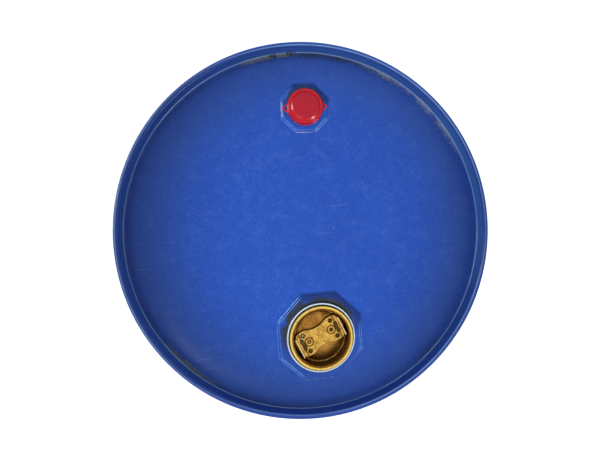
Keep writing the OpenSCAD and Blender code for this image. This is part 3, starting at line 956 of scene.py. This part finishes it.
# %% Two lugs, and the posts of metal at the welds
LUG_HALF, BEND = 10.5 * MM, 1.5 * MM
lug_z = np.linspace(plate_under + PLATE / 2 + BEND, lug_top, 14)
lug_line = joined(
    [[end_x - 2.6 * MM, plate_under + PLATE / 2]],
    arc(lug_x - BEND, plate_under + PLATE / 2 + BEND, BEND, -90, 0, 7),
    upright(lug_x, lug_z),
)
lug_rise = np.clip((lug_line[:, 1] - plate_under) / (lug_top - plate_under), 0, 1)
lug_half = LUG_HALF - 0.5 * MM * lug_rise**3
lug_skin = metal_strip(lug_line, lug_half, gathered(41), PLATE, 0.35 * MM)


def placed(points, turn, x, y):
    """Points turned about the z axis and moved to (x, y)."""
    c, s = math.cos(turn), math.sin(turn)
    spin = np.array([[c, -s, 0.0], [s, c, 0.0], [0.0, 0.0, 1.0]])
    return points @ spin.T + np.array([x, y, 0.0])


weld_spots = [(sx * boss_x, 0.0, 4.2 * MM) for sx in (1, -1)]
weld_spots += [(sx * foot_x, sy * foot_y, 2 * MM) for sx in (1, -1) for sy in (1, -1)]
post_low, post_high = large.plug_low + PLUG_SHEET + 0.3 * MM, plate_under + 0.2 * MM
post_skins = []
for spot_x, spot_y, spot_r in weld_spots:
    post = np.array([[1e-9, post_low], [spot_r, post_low], [spot_r, post_high], [1e-9, post_high]])
    post_skins.append(skin(turned(post, full_turn(32), (spot_x, spot_y))))
plate_parts = [plate_skin, lug_skin, (lug_skin[0] * [-1, -1, 1], *lug_skin[1:]), *post_skins]
print("parts of the wrench plate:", len(plate_parts))

# %% Where oil and painted shade lie on the plate, and where glints are painted


def oil_and_shade_on_plate(points):
    """Oil lies in whatever is pressed in; oil and painted shade along the bends at the lugs' roots,
    painted shadow down the sides, and painted shade on the lugs' faces below their top edges."""
    x, y, z = points.T
    foot, boss, to_slot = from_marks(x, y)
    rings = bell(foot - 1.6 * MM, 0.65 * MM) + bell(boss - RING, 0.45 * MM)
    rings += bell(boss - 1.3 * MM, 0.6 * MM) + np.clip((2.2 * MM - to_slot) / (0.7 * MM), 0, 1)
    above = z - (plate_under + PLATE)
    # oil and painted shade along the bends at the lugs' roots
    root = bell(np.abs(x) - (lug_x - 4.3 * MM), 0.9 * MM) * 0.6
    # painted shadow down the plate's sides
    side = np.clip(-above / (0.5 * MM), 0, 1)
    # painted shade on the lugs' faces below their top edges
    lug_face = (np.abs(x) > lug_x) * np.clip((lug_top - 1.6 * MM - z) / (1.0 * MM), 0, 1)
    lug_face = lug_face * (above > 0.8 * MM) * 0.7
    near_plate, near_root = np.abs(above) < 1.1 * MM, above < 1.5 * MM
    return np.maximum.reduce([rings * near_plate, root * near_root, side, lug_face])


def glint_on_plate(points):
    """Painted glints on the weld spots' centres, stronger on one side of the plate."""
    x, y, _ = points.T
    foot, boss, _ = from_marks(x, y)
    centres = bell(foot, 0.85 * MM) + 0.9 * bell(boss, 0.6 * MM)
    return centres * np.where((x < 0) & (y > -5 * MM), 1.0, 0.35)


glint = np.concatenate([glint_on_plate(points) for points, *_ in plate_parts])
oil_and_shade = np.concatenate([oil_and_shade_on_plate(points) for points, *_ in plate_parts])
wrench_plate = make_piece(
    "wrench_plate_pressed",
    [(placed(points, PLATE_TURN, large.x, large.y), *rest) for points, *rest in plate_parts],
    sharp=45.0,
    values={"oil_and_shade": oil_and_shade, "glint": glint},
)

# %% [markdown]
# ## The cap seal
#
# A thin moulded cap covers the small bung and shows whether the drum has been opened. It has a raised
# disc with a bevelled edge, a ledge round it, and two little ears with a hole, by which it is torn
# off. The cap is one turned section. Each ear is a loop: a rounded section carried along a closed
# path, a triangle with arcs at its corners.

# %% The cap
cap_low, cap_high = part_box("cap_seal")
CAP_WALL, CAP_BAND, CAP_DISC = 0.9 * MM, 1.5 * MM, 14.6 * MM
cap_inner = small.lip + 0.3 * MM
cap_outer = cap_inner + CAP_WALL
cap_ledge = cap_high.z - 1.5 * MM
cap_band_r = cap_outer + 0.5 * MM


def cap_section():
    """The cap's wall from the axis under the disc, down inside, and up outside over band, ledge and
    bevel to the axis again, with a small radius at every edge, as a moulding has."""
    foot, disc = cap_low.z, CAP_DISC
    under = cap_ledge - CAP_WALL
    ridge = small.lip_z - small.lip_height - NECK_GAP - small.hook_drop - 0.1 * MM
    ridge_r = small.lip + 0.12 * MM
    return joined(
        [[1e-9, cap_high.z - CAP_WALL], [disc - 2.1 * MM, cap_high.z - CAP_WALL]],
        [[disc - 0.8 * MM, under], [cap_inner, under], [cap_inner, ridge + 0.3 * MM]],
        [[ridge_r, ridge], [ridge_r, ridge - 0.2 * MM], [cap_inner, ridge - 0.4 * MM], [cap_inner, foot]],
        arc(cap_band_r - 0.3 * MM, foot + 0.3 * MM, 0.3 * MM, -90, 0, 4),
        arc(cap_band_r - 0.4 * MM, foot + CAP_BAND - 0.4 * MM, 0.4 * MM, 0, 80, 4),
        [[cap_outer, foot + CAP_BAND + 0.2 * MM]],
        arc(cap_outer - 1.0 * MM, cap_ledge - 1.0 * MM, 1.0 * MM, 0, 90, 7),
        [[disc + 0.75 * MM, cap_ledge - 0.1 * MM]],
        arc(disc + 0.35 * MM, cap_ledge + 0.15 * MM, 0.4 * MM, -80, -140, 4),
        arc(disc - 2.0 * MM, cap_high.z - 1.0 * MM, 1.0 * MM, 45, 90, 5),
        [[1e-9, cap_high.z]],
    )


cap_skins = [skin(turned(cap_section(), full_turn(192), (small.x, small.y)))]

# %% Two pull ears
EAR_REACH, EAR_SPAN, EAR_TURN = 23.1 * MM, 8.4 * MM, 2.0
EAR_WIDTH, EAR_HEIGHT, EAR_Z = 1.5 * MM, 1.2 * MM, 0.62 * MM


def rounded_corners(corners, radius, steps=7):
    """A closed path with an arc at each corner: the arc's centre lies on the line that halves the
    corner, and it begins and ends where it touches the two sides."""
    path = []
    for before, here, after in zip(np.roll(corners, 1, 0), corners, np.roll(corners, -1, 0)):
        to_before, to_after = unit(before - here), unit(after - here)
        half_angle = np.arccos(np.clip(to_before @ to_after, -1, 1)) / 2
        centre = here + unit(to_before + to_after) * radius / np.sin(half_angle)
        start = here + to_before * radius / np.tan(half_angle) - centre
        end = here + to_after * radius / np.tan(half_angle) - centre
        share = np.linspace(0, 1, steps)[:, None]
        path.append(centre + radius * unit(start * (1 - share) + end * share))
    return np.vstack(path)


def ear_loop(thickness, height, z):
    """The ear's ring: at each point of the path, a rounded square section across the path. The
    section is a circle pushed outwards by a power, which makes it square with soft corners."""
    root, half_span = cap_outer - 0.2 * MM, EAR_SPAN / 2
    corners = np.array([[root, -half_span], [EAR_REACH, 0.0], [root, half_span]])
    path = rounded_corners(corners, 0.7 * MM)
    ahead = unit(np.roll(path, -1, 0) - np.roll(path, 1, 0))
    sideways = np.stack([ahead[:, 1], -ahead[:, 0]], 1)
    around = full_turn(16)
    squared = lambda wave: np.sign(wave) * np.abs(wave) ** 0.6
    out, up = squared(np.cos(around)) * thickness / 2, squared(np.sin(around)) * height / 2
    flat = path[:, None, :] + sideways[:, None, :] * out[None, :, None]
    level = np.broadcast_to(z + up, flat.shape[:2])
    return np.concatenate([flat, level[..., None]], -1)


for side in (0.0, 180.0):
    points, faces, marked = skin(ear_loop(EAR_WIDTH, EAR_HEIGHT, cap_low.z + EAR_Z))
    turn = math.radians(EAR_TURN + side)
    cap_skins.append((placed(points, turn, small.x, small.y), faces, marked))
cap_seal = make_piece("cap_seal_moulded", cap_skins, sharp=50.0)

# %% [markdown]
# ## Blue paint
#
# The drum was sprayed with glossy blue paint, then lived outdoors. On the real head the paint is
# mottled in broad, soft clouds; dust has settled as a pale line at the foot of the countersink's
# wall, and there are dark specks, tan stains and hair-thin scratches. Some light and shade are
# painted in as well: highlights along that line, the chime's crown and the seats' edges, light on
# parts of the wall, and shade in the countersink and round the bungs. An image texture could carry
# all this, but then it would fit one drum only. Here everything is worked out from position: the
# distance from the axis gives rings, a point and a size give a stain, and noise breaks up every edge.

# %% The paint itself: clouds, grain, specks and scratches
BLUE = (0.020, 0.080, 0.44)
DEEP_BLUE = (0.018, 0.073, 0.41)
DARK_GRAIN = (0.014, 0.056, 0.29)
PALE_BLUE = (0.10, 0.20, 0.56)
HIGHLIGHT_BLUE = (0.24, 0.56, 1.0)
DUST = (0.42, 0.46, 0.52)
TAN = (0.42, 0.42, 0.36)
SOOT = (0.014, 0.016, 0.016)


def sprayed(paint):
    """Broad clouds, mottling, fine grain and flecks. The mottling is given back, for the gloss."""
    clouds = paint.noise(11.0, 4.0, 0.6)
    mottle = paint.noise(95.0, 4.0, 0.6)
    grain = paint.noise(620.0, 3.0, 0.7)
    fleck = paint.noise(300.0, 2.0, 0.5)
    paint.lay(BLUE, clouds.between(0.34, 0.66))
    paint.lay(PALE_BLUE, mottle.between(0.46, 0.74) * 0.14)
    paint.lay(DEEP_BLUE, mottle.between(0.5, 0.32) * 0.4)
    paint.lay(PALE_BLUE, grain.between(0.5, 0.72) * 0.14)
    paint.lay(DARK_GRAIN, grain.between(0.52, 0.34) * 0.5)
    paint.lay(DUST, fleck.between(0.74, 0.8) * 0.35)
    paint.lay(SOOT, fleck.between(0.27, 0.22) * 0.5)
    return mottle


def scratches(paint, turn):
    """Hair lines: noise stretched sixtyfold one way, kept only where it is at its highest, and only
    in a few places."""
    lines = paint.streaks((14.0, 900.0, 14.0), 2.0, 0.5, turn)
    some = paint.noise(16.0, 2.0, 0.5)
    return lines.between(0.7, 0.78) * some.between(0.52, 0.62)


# %% Marks on the head: dust, crumbs, soot, worn paint, and painted light and shade
BURNS = [(99.7, 180.6, 3.0), (98.6, 180.2, 3.4), (94.2, 180.9, 2.8), (93.2, 180.6, 3.4), (92, 181, 2.6)]


def head_readings(paint):
    """What the marks are worked out from: the distance from the axis, straight and wandering, the low
    ring between panel and wall, and noise that breaks up every edge."""
    out = paint.flat.length()
    wander = (paint.noise(42.0, 4.0, 0.7) - 0.5) * (1.6 * MM)
    return SimpleNamespace(
        out=out,
        wander=wander,
        radius=out + wander,
        low=paint.height.between(TOP - 12.2 * MM, TOP - 13.6 * MM),
        ragged=(paint.noise(260.0, 5.0, 0.75) - 0.5) * (7 * MM),
        patchy=paint.noise(24.0, 4.0, 0.7).between(0.34, 0.62),
        fine=paint.noise(900.0, 3.0, 0.8),
        coarse=paint.noise(520.0, 4.0, 0.8),
    )


def crumbs(noise, density):
    """Separate crumbs, closer together where the density nears 1: noise cut at a level that falls as
    the density rises."""
    return (noise + density * 0.36).between(0.74, 0.84)


def dust_film_and_lit_wall(paint, at):
    """A thin film of dust that grows outwards, and painted light on the countersink's wall, on the sides
    that face the light.
    """
    paint.lay((0.09, 0.155, 0.41), at.out.between(110 * MM, 178 * MM) * 0.2)
    wall = at.out.between(181.1 * MM, 181.7 * MM) * at.out.between(185 * MM, 184 * MM)
    wall = wall * paint.height.between(TOP - 0.5 * MM, TOP - 3 * MM)
    # painted light: the wall is lighter on the sides that face the light
    facing = paint.flat.towards(12, 14, 48) | paint.flat.towards(50, 20, 130) * 0.6
    facing = facing | paint.flat.towards(182, 30, 60) * 0.35
    paint.lay((0.085, 0.25, 0.70), wall * facing * 0.95)


def countersink_dirt_and_shade(paint, at):
    """Painted shade in the low ring inside the wall's foot, dark crumbs on two sides, pale ones on the
    others, and smears where dirt has been rubbed through. Pale crumbs and smears are given back, for the
    gloss."""
    flat = paint.flat
    # painted shade: a darker band inside the wall's foot, on all sides but one
    shade = at.radius.between(172 * MM, 179 * MM) * at.low
    shade = shade * flat.towards(12, 25, 50).between(1.0, 0.0) * (at.patchy * 0.3 + 0.12)
    paint.lay((0.030, 0.045, 0.12), shade)
    inwards = at.radius.between(169 * MM, 182 * MM)
    pale_side = flat.towards(47, 14, 30) | flat.towards(168, 14, 30) * 0.3
    dark_side = flat.towards(80, 20, 34) | flat.towards(308, 12, 22) * 0.6
    everywhere = at.patchy * 0.25
    dark_density = inwards * (dark_side * (at.patchy * 0.5 + 0.5) * 0.88 + everywhere)
    pale_density = inwards * (pale_side * (at.patchy * 0.25 + 0.75) * 0.76 + everywhere)
    pale_crumbs = crumbs(at.fine, pale_density) * at.low * 0.75
    paint.lay((0.036, 0.048, 0.062), crumbs(at.coarse, dark_density) * at.low * 0.8)
    paint.lay((0.32, 0.36, 0.40), pale_crumbs)
    close = (at.radius + at.ragged).between(179.2 * MM, 182.2 * MM)
    rubbed_through = close * at.low * pale_side * at.fine.between(0.46, 0.6) * 0.7
    paint.lay(TAN, rubbed_through)
    smear = (at.out + at.ragged).between(177.4 * MM, 179.6 * MM) * at.low
    smear = smear * (flat.towards(-136, 4, 12) | flat.towards(101, 6, 10))
    paint.lay((0.20, 0.21, 0.15), smear * at.coarse.between(0.3, 0.55) * 0.7)
    return pale_crumbs | rubbed_through


def wall_foot(paint, at):
    """The pale line along the foot of the wall, dust and a painted highlight, and a few sooty blotches
    on it. Each blotch is (angle, distance, size). The soot is given back, for the gloss."""
    # dust and a painted highlight: a pale blue line on the wall's rounded foot
    line = (paint.height + at.wander * 0.6).close_to(TOP - 13.8 * MM, 1.0 * MM)
    line = line * at.out.between(180.6 * MM, 181.4 * MM)
    paint.lay((0.32, 0.54, 0.95), line * (at.patchy * 0.35 + 0.62))
    soot = any_of(paint.flat.stain(at.ragged, *burn) for burn in BURNS)
    paint.lay((0.026, 0.024, 0.014), soot * at.low * at.coarse.between(0.36, 0.52) * 0.9)
    return soot


def chime_crown(paint, at):
    """A painted highlight as a pale line along the crown of the chime, brighter on some sides, over
    painted light on the crown's outer part. The line runs further in at two places."""
    flat = paint.flat
    on_crown = paint.height.between(TOP - 1.3 * MM, TOP - 0.2 * MM)
    inwards = flat.towards(50, 45, 80) * (1.5 * MM) | flat.towards(295, 35, 75) * (2.2 * MM)
    along = at.out + inwards
    # painted light: a lighter blue over the crown's outer part
    paint.lay((0.06, 0.15, 0.70), along.between(185 * MM, 186 * MM) * on_crown * 0.6)
    # painted highlight: a pale line along the crown, brighter on some sides
    crown = abs(along - 185.1 * MM).between(0.95 * MM, 0.25 * MM)
    highlight_share = flat.towards(50, 25, 65) | flat.towards(315, 15, 50) | flat.towards(180, 20, 50) * 0.8
    highlight_share = (highlight_share * 0.55 + 0.45) * (at.patchy * 0.3 + 0.7)
    paint.lay((0.27, 0.50, 1.0), crown * on_crown * highlight_share)


# %% Marks on the seats: painted highlights and shade on their edges, grime and shade round the necks
# For each seat: the sides whose edges get a painted highlight, and how strongly
SEAT_SIDES = [
    (large, [(135, 1.0), (180, 0.3), (222, 0.85), (352, 0.7)]),
    (small, [(140, 0.35), (188, 0.3), (228, 0.35), (272, 0.15), (315, 0.6), (85, 0.25)]),
]


def seat_marks(paint, seat, lit_sides):
    """Marks that follow a seat's octagon. Its flats face along x, y and halfway between, so how far
    out a point lies is the largest of |x|, |y| and (|x| + |y|) / the root of 2."""
    local, out = paint.around(seat)
    x, y, _ = local.vector("ABSOLUTE").axes()
    reach = x | y | (x + y) * 0.7071
    half = seat.flats / 2
    broken = paint.noise(170.0, 4.0, 0.7).between(0.36, 0.6)
    foot = reach.close_to(half - 0.1 * MM, 0.5 * MM)
    brow = reach.close_to(half - SEAT_SLOPE + 0.2 * MM, 0.5 * MM)
    lit = any_of(local.towards(turn, 13, 25) * share for turn, share in lit_sides) + 0.07
    # painted shade on the slope and plateau edge, on the sides facing away from the light
    shaded_slope = reach.between(half + 2.4 * MM, half + 0.4 * MM)
    shaded_slope = shaded_slope * reach.between(half - 8 * MM, half - 5 * MM)
    paint.lay((0.008, 0.030, 0.17), shaded_slope * local.towards(66, 38, 72) * 0.92)
    # painted highlights along the slope's foot and brow, on the lit sides
    paint.lay(HIGHLIGHT_BLUE, (foot | brow) * lit * (broken * 0.6 + 0.4))
    paint.lay(TAN, foot * local.towards(266, 12, 24) * broken * 0.8)
    # grime and painted shade round the neck, most on its upper side
    uneven = (paint.noise(90.0, 4.0, 0.7) - 0.5) * (16 * MM)
    near = (out + uneven).between(seat.lip + 8 * MM, seat.lip + 1.5 * MM)
    paint.lay((0.03, 0.036, 0.036), near * (local.towards(108, 60, 115) * 0.85 + 0.12))


def head_marks(paint):
    """All marks on the head, from the lowest layer to the highest."""
    at = head_readings(paint)
    dust_film_and_lit_wall(paint, at)
    dirt = countersink_dirt_and_shade(paint, at) | wall_foot(paint, at)
    chime_crown(paint, at)
    for seat, lit_sides in SEAT_SIDES:
        seat_marks(paint, seat, lit_sides)
    return dirt


# %% Marks on the body: rubbed hoops, dust near the floor, rain streaks


def body_marks(paint):
    """The hoops are what a rolling drum touches, so paint is rubbed there; rain leaves faint streaks,
    noise stretched along the height; dust clings near the floor, and both chimes are chipped."""
    height = paint.height
    scuff = paint.streaks((60.0, 60.0, 260.0), 5.0, 0.75)
    on_hoop = paint.flat.length().between(body_wall + 6.6 * MM, body_wall + 8.2 * MM)
    hoop_wear = on_hoop * scuff.between(0.44, 0.66) * 0.4
    paint.lay((0.12, 0.20, 0.52), hoop_wear)
    paint.lay((0.16, 0.15, 0.15), on_hoop * scuff.between(0.68, 0.74) * 0.6)
    rain = paint.streaks((110.0, 110.0, 2.5), 4.0, 0.6)
    paint.lay(PALE_BLUE, rain.between(0.55, 0.75) * 0.22)
    dusty = height.between(75 * MM, 4 * MM) * paint.noise(45.0, 5.0, 0.7).between(0.3, 0.75) * 0.45
    paint.lay((0.20, 0.20, 0.19), dusty)
    chimes = height.between(3.2 * MM, 1.2 * MM) | height.between(TOP - 3 * MM, TOP - 1 * MM)
    chipped = chimes * scuff.between(0.5, 0.62) * 0.75
    paint.lay((0.13, 0.12, 0.12), chipped)
    return hoop_wear | dusty | chipped


# %% Blue paint on head and body


def blue_paint(name, marks):
    """Paint with its marks. It is dull where it is scratched or dirty, and a fine bump gives it the
    uneven surface of sprayed enamel."""
    paint = Finish(name, DEEP_BLUE)
    mottle = sprayed(paint)
    hair = scratches(paint, 35.0) | scratches(paint, -70.0)
    paint.lay(DUST, hair * 0.3)
    dull = hair | marks(paint)
    gloss = mottle * 0.12 + 0.34 + dull * 0.3
    orange_peel = paint.bump(paint.noise(420.0, 2.0, 0.5), 0.04 * MM, 0.4)
    return paint.shade(
        gloss, orange_peel, Specular_IOR_Level=0.03, Coat_Weight=0.16, Coat_Roughness=0.2
    )


head_paint = blue_paint("blue_paint_head", head_marks)
body_paint = blue_paint("blue_paint_body", body_marks)
print("nodes in the head's paint:", len(head_paint.node_tree.nodes))

# %% [markdown]
# ## Metal, rubber and plastic
#
# The flange is zinc-plated and reads as a dull silver ring, darker along its bead, with grime and
# painted shadow inside the bead. The plug is zinc with a gold passivated film, and oil has dried
# brown and black in its cup: most at the foot of the wall, in the dimples and in the slots. The same
# dark colour is laid as painted shade at the foot of the wall and on the lugs, and as painted shadow
# on one side of the floor and along the plate; glints and highlights are painted on the plate's weld
# dimples and lugs. Where the oil lies is worked out from depth and from the distance to the plug's
# axis. The cap is red moulded plastic, duller on its disc where it has been touched, with painted
# shade on one side of its step and in its groove.

# %% Zinc


def zinc_plate():
    """Silver in soft clouds, with faint stains, darker along each lip's bead, and black with grime and
    painted shadow inside it.
    """
    metal = Finish("zinc_plate", (0.72, 0.83, 0.84))
    cloud = metal.noise(400.0, 3.0, 0.6)
    metal.lay((0.88, 0.98, 0.97), cloud.between(0.35, 0.7))
    metal.lay((0.42, 0.41, 0.38), metal.noise(130.0, 4.0, 0.7).between(0.56, 0.7) * 0.3)
    for bung_here in (large, small):
        lip, out = bung_here.lip, metal.around(bung_here)[1]
        metal.lay((0.16, 0.17, 0.19), out.close_to(lip - 1.35 * MM, 0.4 * MM) * 0.45)
        # grime and painted shadow: black inside the bead, under the plug's rim
        metal.lay((0.006, 0.006, 0.007), out.between(lip - 1.7 * MM, lip - 2.2 * MM))
    return metal.shade(cloud * 0.15 + 0.36, metal.bump(cloud, 0.02 * MM, 0.4), Metallic=1.0)


zinc = zinc_plate()

# %% Gold film with dried oil, and painted shade, shadow, light and glints
BRIGHT_GOLD = (0.92, 0.62, 0.14)
# dried oil; the same colour is laid as painted shade and shadow
OIL_AND_SHADE = (0.035, 0.018, 0.007)


def gold(metal, oily):
    """Dark specks and fresh spots over what is there, and a sharper sheen where oil lies."""
    grain = metal.noise(640.0, 4.0, 0.75)
    metal.lay((0.12, 0.05, 0.01), grain.between(0.54, 0.66) * 0.7)
    metal.lay(BRIGHT_GOLD, grain.between(0.44, 0.34) * 0.35)
    rough = metal.noise(160.0, 4.0, 0.65) * 0.25 + 0.24 - oily * 0.12
    return metal.shade(rough, metal.bump(grain, 0.04 * MM, 0.5), Metallic=1.0)


def shadow_under_plate_edge(metal, local):
    """Painted shadow along the plate's hollow sides: 1 close to the line whose distance from the
    plate's middle is the waist plus a share of x squared, up to the ears' width."""
    turned_back = metal.amount("Mapping", Vector=local, Rotation=(0.0, 0.0, -PLATE_TURN))
    x, y, _ = turned_back.vector("ABSOLUTE").axes()
    side = (x * x * (waist_dip / waist_reach**2) + waist_half).at_most(ear_half)
    return (y - side).between(1.5 * MM, 0.3 * MM) * x.between(lug_x, end_x)


def gold_cup_finish():
    """Brown-gold, darker inside the rim, bright on it and dark at its outer edge. The floor is
    streaked. Dried oil and painted shade lie at the foot of the wall, and painted shadow lies on one
    side of the floor and along the plate."""
    metal = Finish("gold_plate_cup", (0.24, 0.105, 0.018))
    local, out = metal.around(large)
    height, rim, top = metal.height, large.rim, large.plug_high
    cloud = metal.noise(120.0, 4.0, 0.7, 0.4)
    metal.lay((0.42, 0.21, 0.04), cloud.between(0.38, 0.62))
    metal.lay((0.13, 0.055, 0.010), out.between(29.5 * MM, 28.6 * MM) * 0.75)
    metal.lay(BRIGHT_GOLD, out.between(29.3 * MM, 30.0 * MM) * cloud.between(0.15, 0.4))
    metal.lay((0.05, 0.025, 0.008), out.between(rim - 0.5 * MM, rim - 0.1 * MM))
    floor_here = height.between(top - 11.5 * MM, top - 13 * MM)
    streaks = metal.noise(55.0, 5.0, 0.7, 0.5).between(0.36, 0.64)
    metal.lay(metal.blend(streaks, (0.30, 0.115, 0.018), (0.66, 0.34, 0.075)), floor_here * 0.9)
    corner = (out + cloud * (2.4 * MM)).between(26.0 * MM, 28.4 * MM)
    # dried oil and painted shade at the foot of the cup's wall
    oily = height.between(top - 0.5 * MM, top - 5.5 * MM) * corner * 0.97
    # painted shadow on one side of the floor
    shadowed_side = floor_here * out.between(17 * MM, 25 * MM) * local.towards(250, 30, 80) * 0.6
    metal.lay(OIL_AND_SHADE, oily | shadowed_side | shadow_under_plate_edge(metal, local) * floor_here)
    return gold(metal, oily)


def gold_film(name):
    """Fresh film in soft clouds, and the clouds."""
    metal = Finish(name, (0.50, 0.27, 0.05))
    cloud = metal.noise(170.0, 4.0, 0.7, 0.3)
    metal.lay((0.80, 0.50, 0.11), cloud.between(0.4, 0.62))
    return metal, cloud


def gold_pressed_finish():
    """The plate's own attributes say, from 0 to 1, where oil and painted shade lie and where glints are
    painted. The lugs get painted light on their upper faces and a painted highlight on their top edges.
    """
    metal, cloud = gold_film("gold_plate_pressed")
    sunk = metal.amount("Attribute", "Fac", {"attribute_name": "oil_and_shade"})
    highlight_share = metal.amount("Attribute", "Fac", {"attribute_name": "glint"})
    oily = (sunk + (cloud - 0.5) * 0.7).between(0.2, 0.55)
    metal.lay(OIL_AND_SHADE, oily * 0.93)
    # painted glints: silver-white spots on the weld dimples
    metal.lay((0.80, 0.80, 0.84), highlight_share.between(0.3, 0.8))
    # painted light on the lugs' upper faces
    metal.lay(BRIGHT_GOLD, metal.height.between(lug_top - 4.0 * MM, lug_top - 0.8 * MM))
    # painted highlight along the lugs' top edges
    metal.lay((1.0, 0.80, 0.40), metal.height.between(lug_top - 0.7 * MM, lug_top - 0.3 * MM))
    return gold(metal, oily)


def gold_plain_finish():
    """The small plug under the cap has kept its film, so it is gold all over."""
    metal, cloud = gold_film("gold_plate_small_plug")
    return gold(metal, cloud.between(0.7, 0.85))


gold_cup = gold_cup_finish()
gold_plain = gold_plain_finish()
gold_pressed = gold_pressed_finish()

# %% Rubber, compound and the bare inside


def plain_finish(name, first, second, scale, roughness, grain_depth):
    """Two close shades in soft clouds, with a fine grain: enough for small or hidden pieces."""
    made = Finish(name, first)
    cloud = made.noise(scale, 4.0, 0.6)
    made.lay(second, cloud.between(0.35, 0.65))
    relief = made.bump(made.noise(scale * 6, 2.0, 0.5), grain_depth * MM, 0.5)
    return made.shade(cloud * 0.12 + roughness, relief)


rubber = plain_finish("black_rubber", (0.012, 0.012, 0.013), (0.03, 0.028, 0.026), 120.0, 0.6, 0.03)
compound = plain_finish("seam_compound", (0.08, 0.08, 0.09), (0.12, 0.12, 0.12), 200.0, 0.7, 0.05)
lining = plain_finish("bare_steel_inside", (0.20, 0.19, 0.18), (0.30, 0.29, 0.28), 14.0, 0.42, 0.03)

# %% Red plastic
SHADED_RED = (0.16, 0.004, 0.008)


def red_plastic():
    """Red in soft clouds, duller on the disc, with painted shade on one side of its step and in the
    groove.
    """
    made = Finish("red_plastic", (0.45, 0.002, 0.009))
    local, out = made.around(small)
    cloud = made.noise(260.0, 4.0, 0.65)
    made.lay((0.60, 0.003, 0.012), cloud.between(0.35, 0.65))
    top = made.height.between(cap_high.z - 0.5 * MM, cap_high.z - 0.1 * MM)
    disc = out.between(13.4 * MM, 12.6 * MM) * top
    made.lay(made.blend(cloud.between(0.3, 0.7), (0.35, 0.004, 0.016), (0.43, 0.006, 0.021)), disc)
    # painted shade: one side of the disc's step, and the groove round it
    made.lay(SHADED_RED, out.close_to(13.6 * MM, 0.6 * MM) * local.towards(20, 60, 110) * 0.7)
    made.lay(SHADED_RED, out.close_to(14.9 * MM, 0.6 * MM) * 0.6)
    grain = made.bump(made.noise(1400.0, 2.0, 0.5), 0.02 * MM, 0.4)
    coat = {"Specular_IOR_Level": 0.1, "Coat_Weight": 0.4, "Coat_Roughness": 0.18}
    return made.shade(disc * 0.18 + 0.3, grain, **coat)


plastic = red_plastic()

# %% [markdown]
# ## Putting it together
#
# Every piece is told which moving body it rides on and which part of the measured model it stands
# for. Parts of that model that are hidden, or that are already fine enough, stay and get a finish.

# %% Finishes, bodies and what each piece replaces


def fit_out(piece, body, node, slot_name, *finishes):
    """Gives a piece its finishes, the body it moves with and the part it replaces. slot_name is not used.
    """
    for finish in finishes:
        piece.data.materials.append(finish)
    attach(piece, body)
    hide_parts(node)


fit_out(top_head, "drum", "top_head", "blue_paint", head_paint, lining)
fit_out(bottom_head, "drum", "bottom_head", "blue_paint", body_paint, lining)
fit_out(body_shell, "drum", "body_shell", "blue_paint", body_paint, lining)
fit_out(large_flange, "drum", "large_flange", "zinc", zinc)
fit_out(small_flange, "drum", "small_flange", "zinc", zinc)
fit_out(small_gasket, "drum", "small_plug_gasket", "black_rubber", rubber)
fit_out(large_gasket, "large_plug_seal", "large_plug_gasket", "black_rubber", rubber)
fit_out(large_plug, "large_plug", "large_plug", "gold_plating", gold_cup)
fit_out(wrench_plate, "large_plug", "wrench_plate", "gold_plating", gold_pressed)
fit_out(cap_seal, "cap_seal", "cap_seal", "red_plastic", plastic)

kept = {
    "small_plug": gold_plain,
    "top_seam_sealant": compound,
    "bottom_seam_sealant": compound,
    "large_flange_gasket": rubber,
    "small_flange_gasket": rubber,
}
for node_name, finish in kept.items():
    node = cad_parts[node_name]
    node.data.materials.clear()
    node.data.materials.append(finish)
print("measured pieces that stay:", len(kept))

# %% Keep the sheen lamps off the bright metal
flagged = bpy.data.collections.new("flagged_from_sheens")
for piece in (large_flange, small_flange, large_plug, wrench_plate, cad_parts["small_plug"]):
    flagged.objects.link(piece)
for member in flagged.collection_objects:
    member.light_linking.link_state = "EXCLUDE"
for sheen in sheen_lamps:
    sheen.light_linking.receiver_collection = flagged
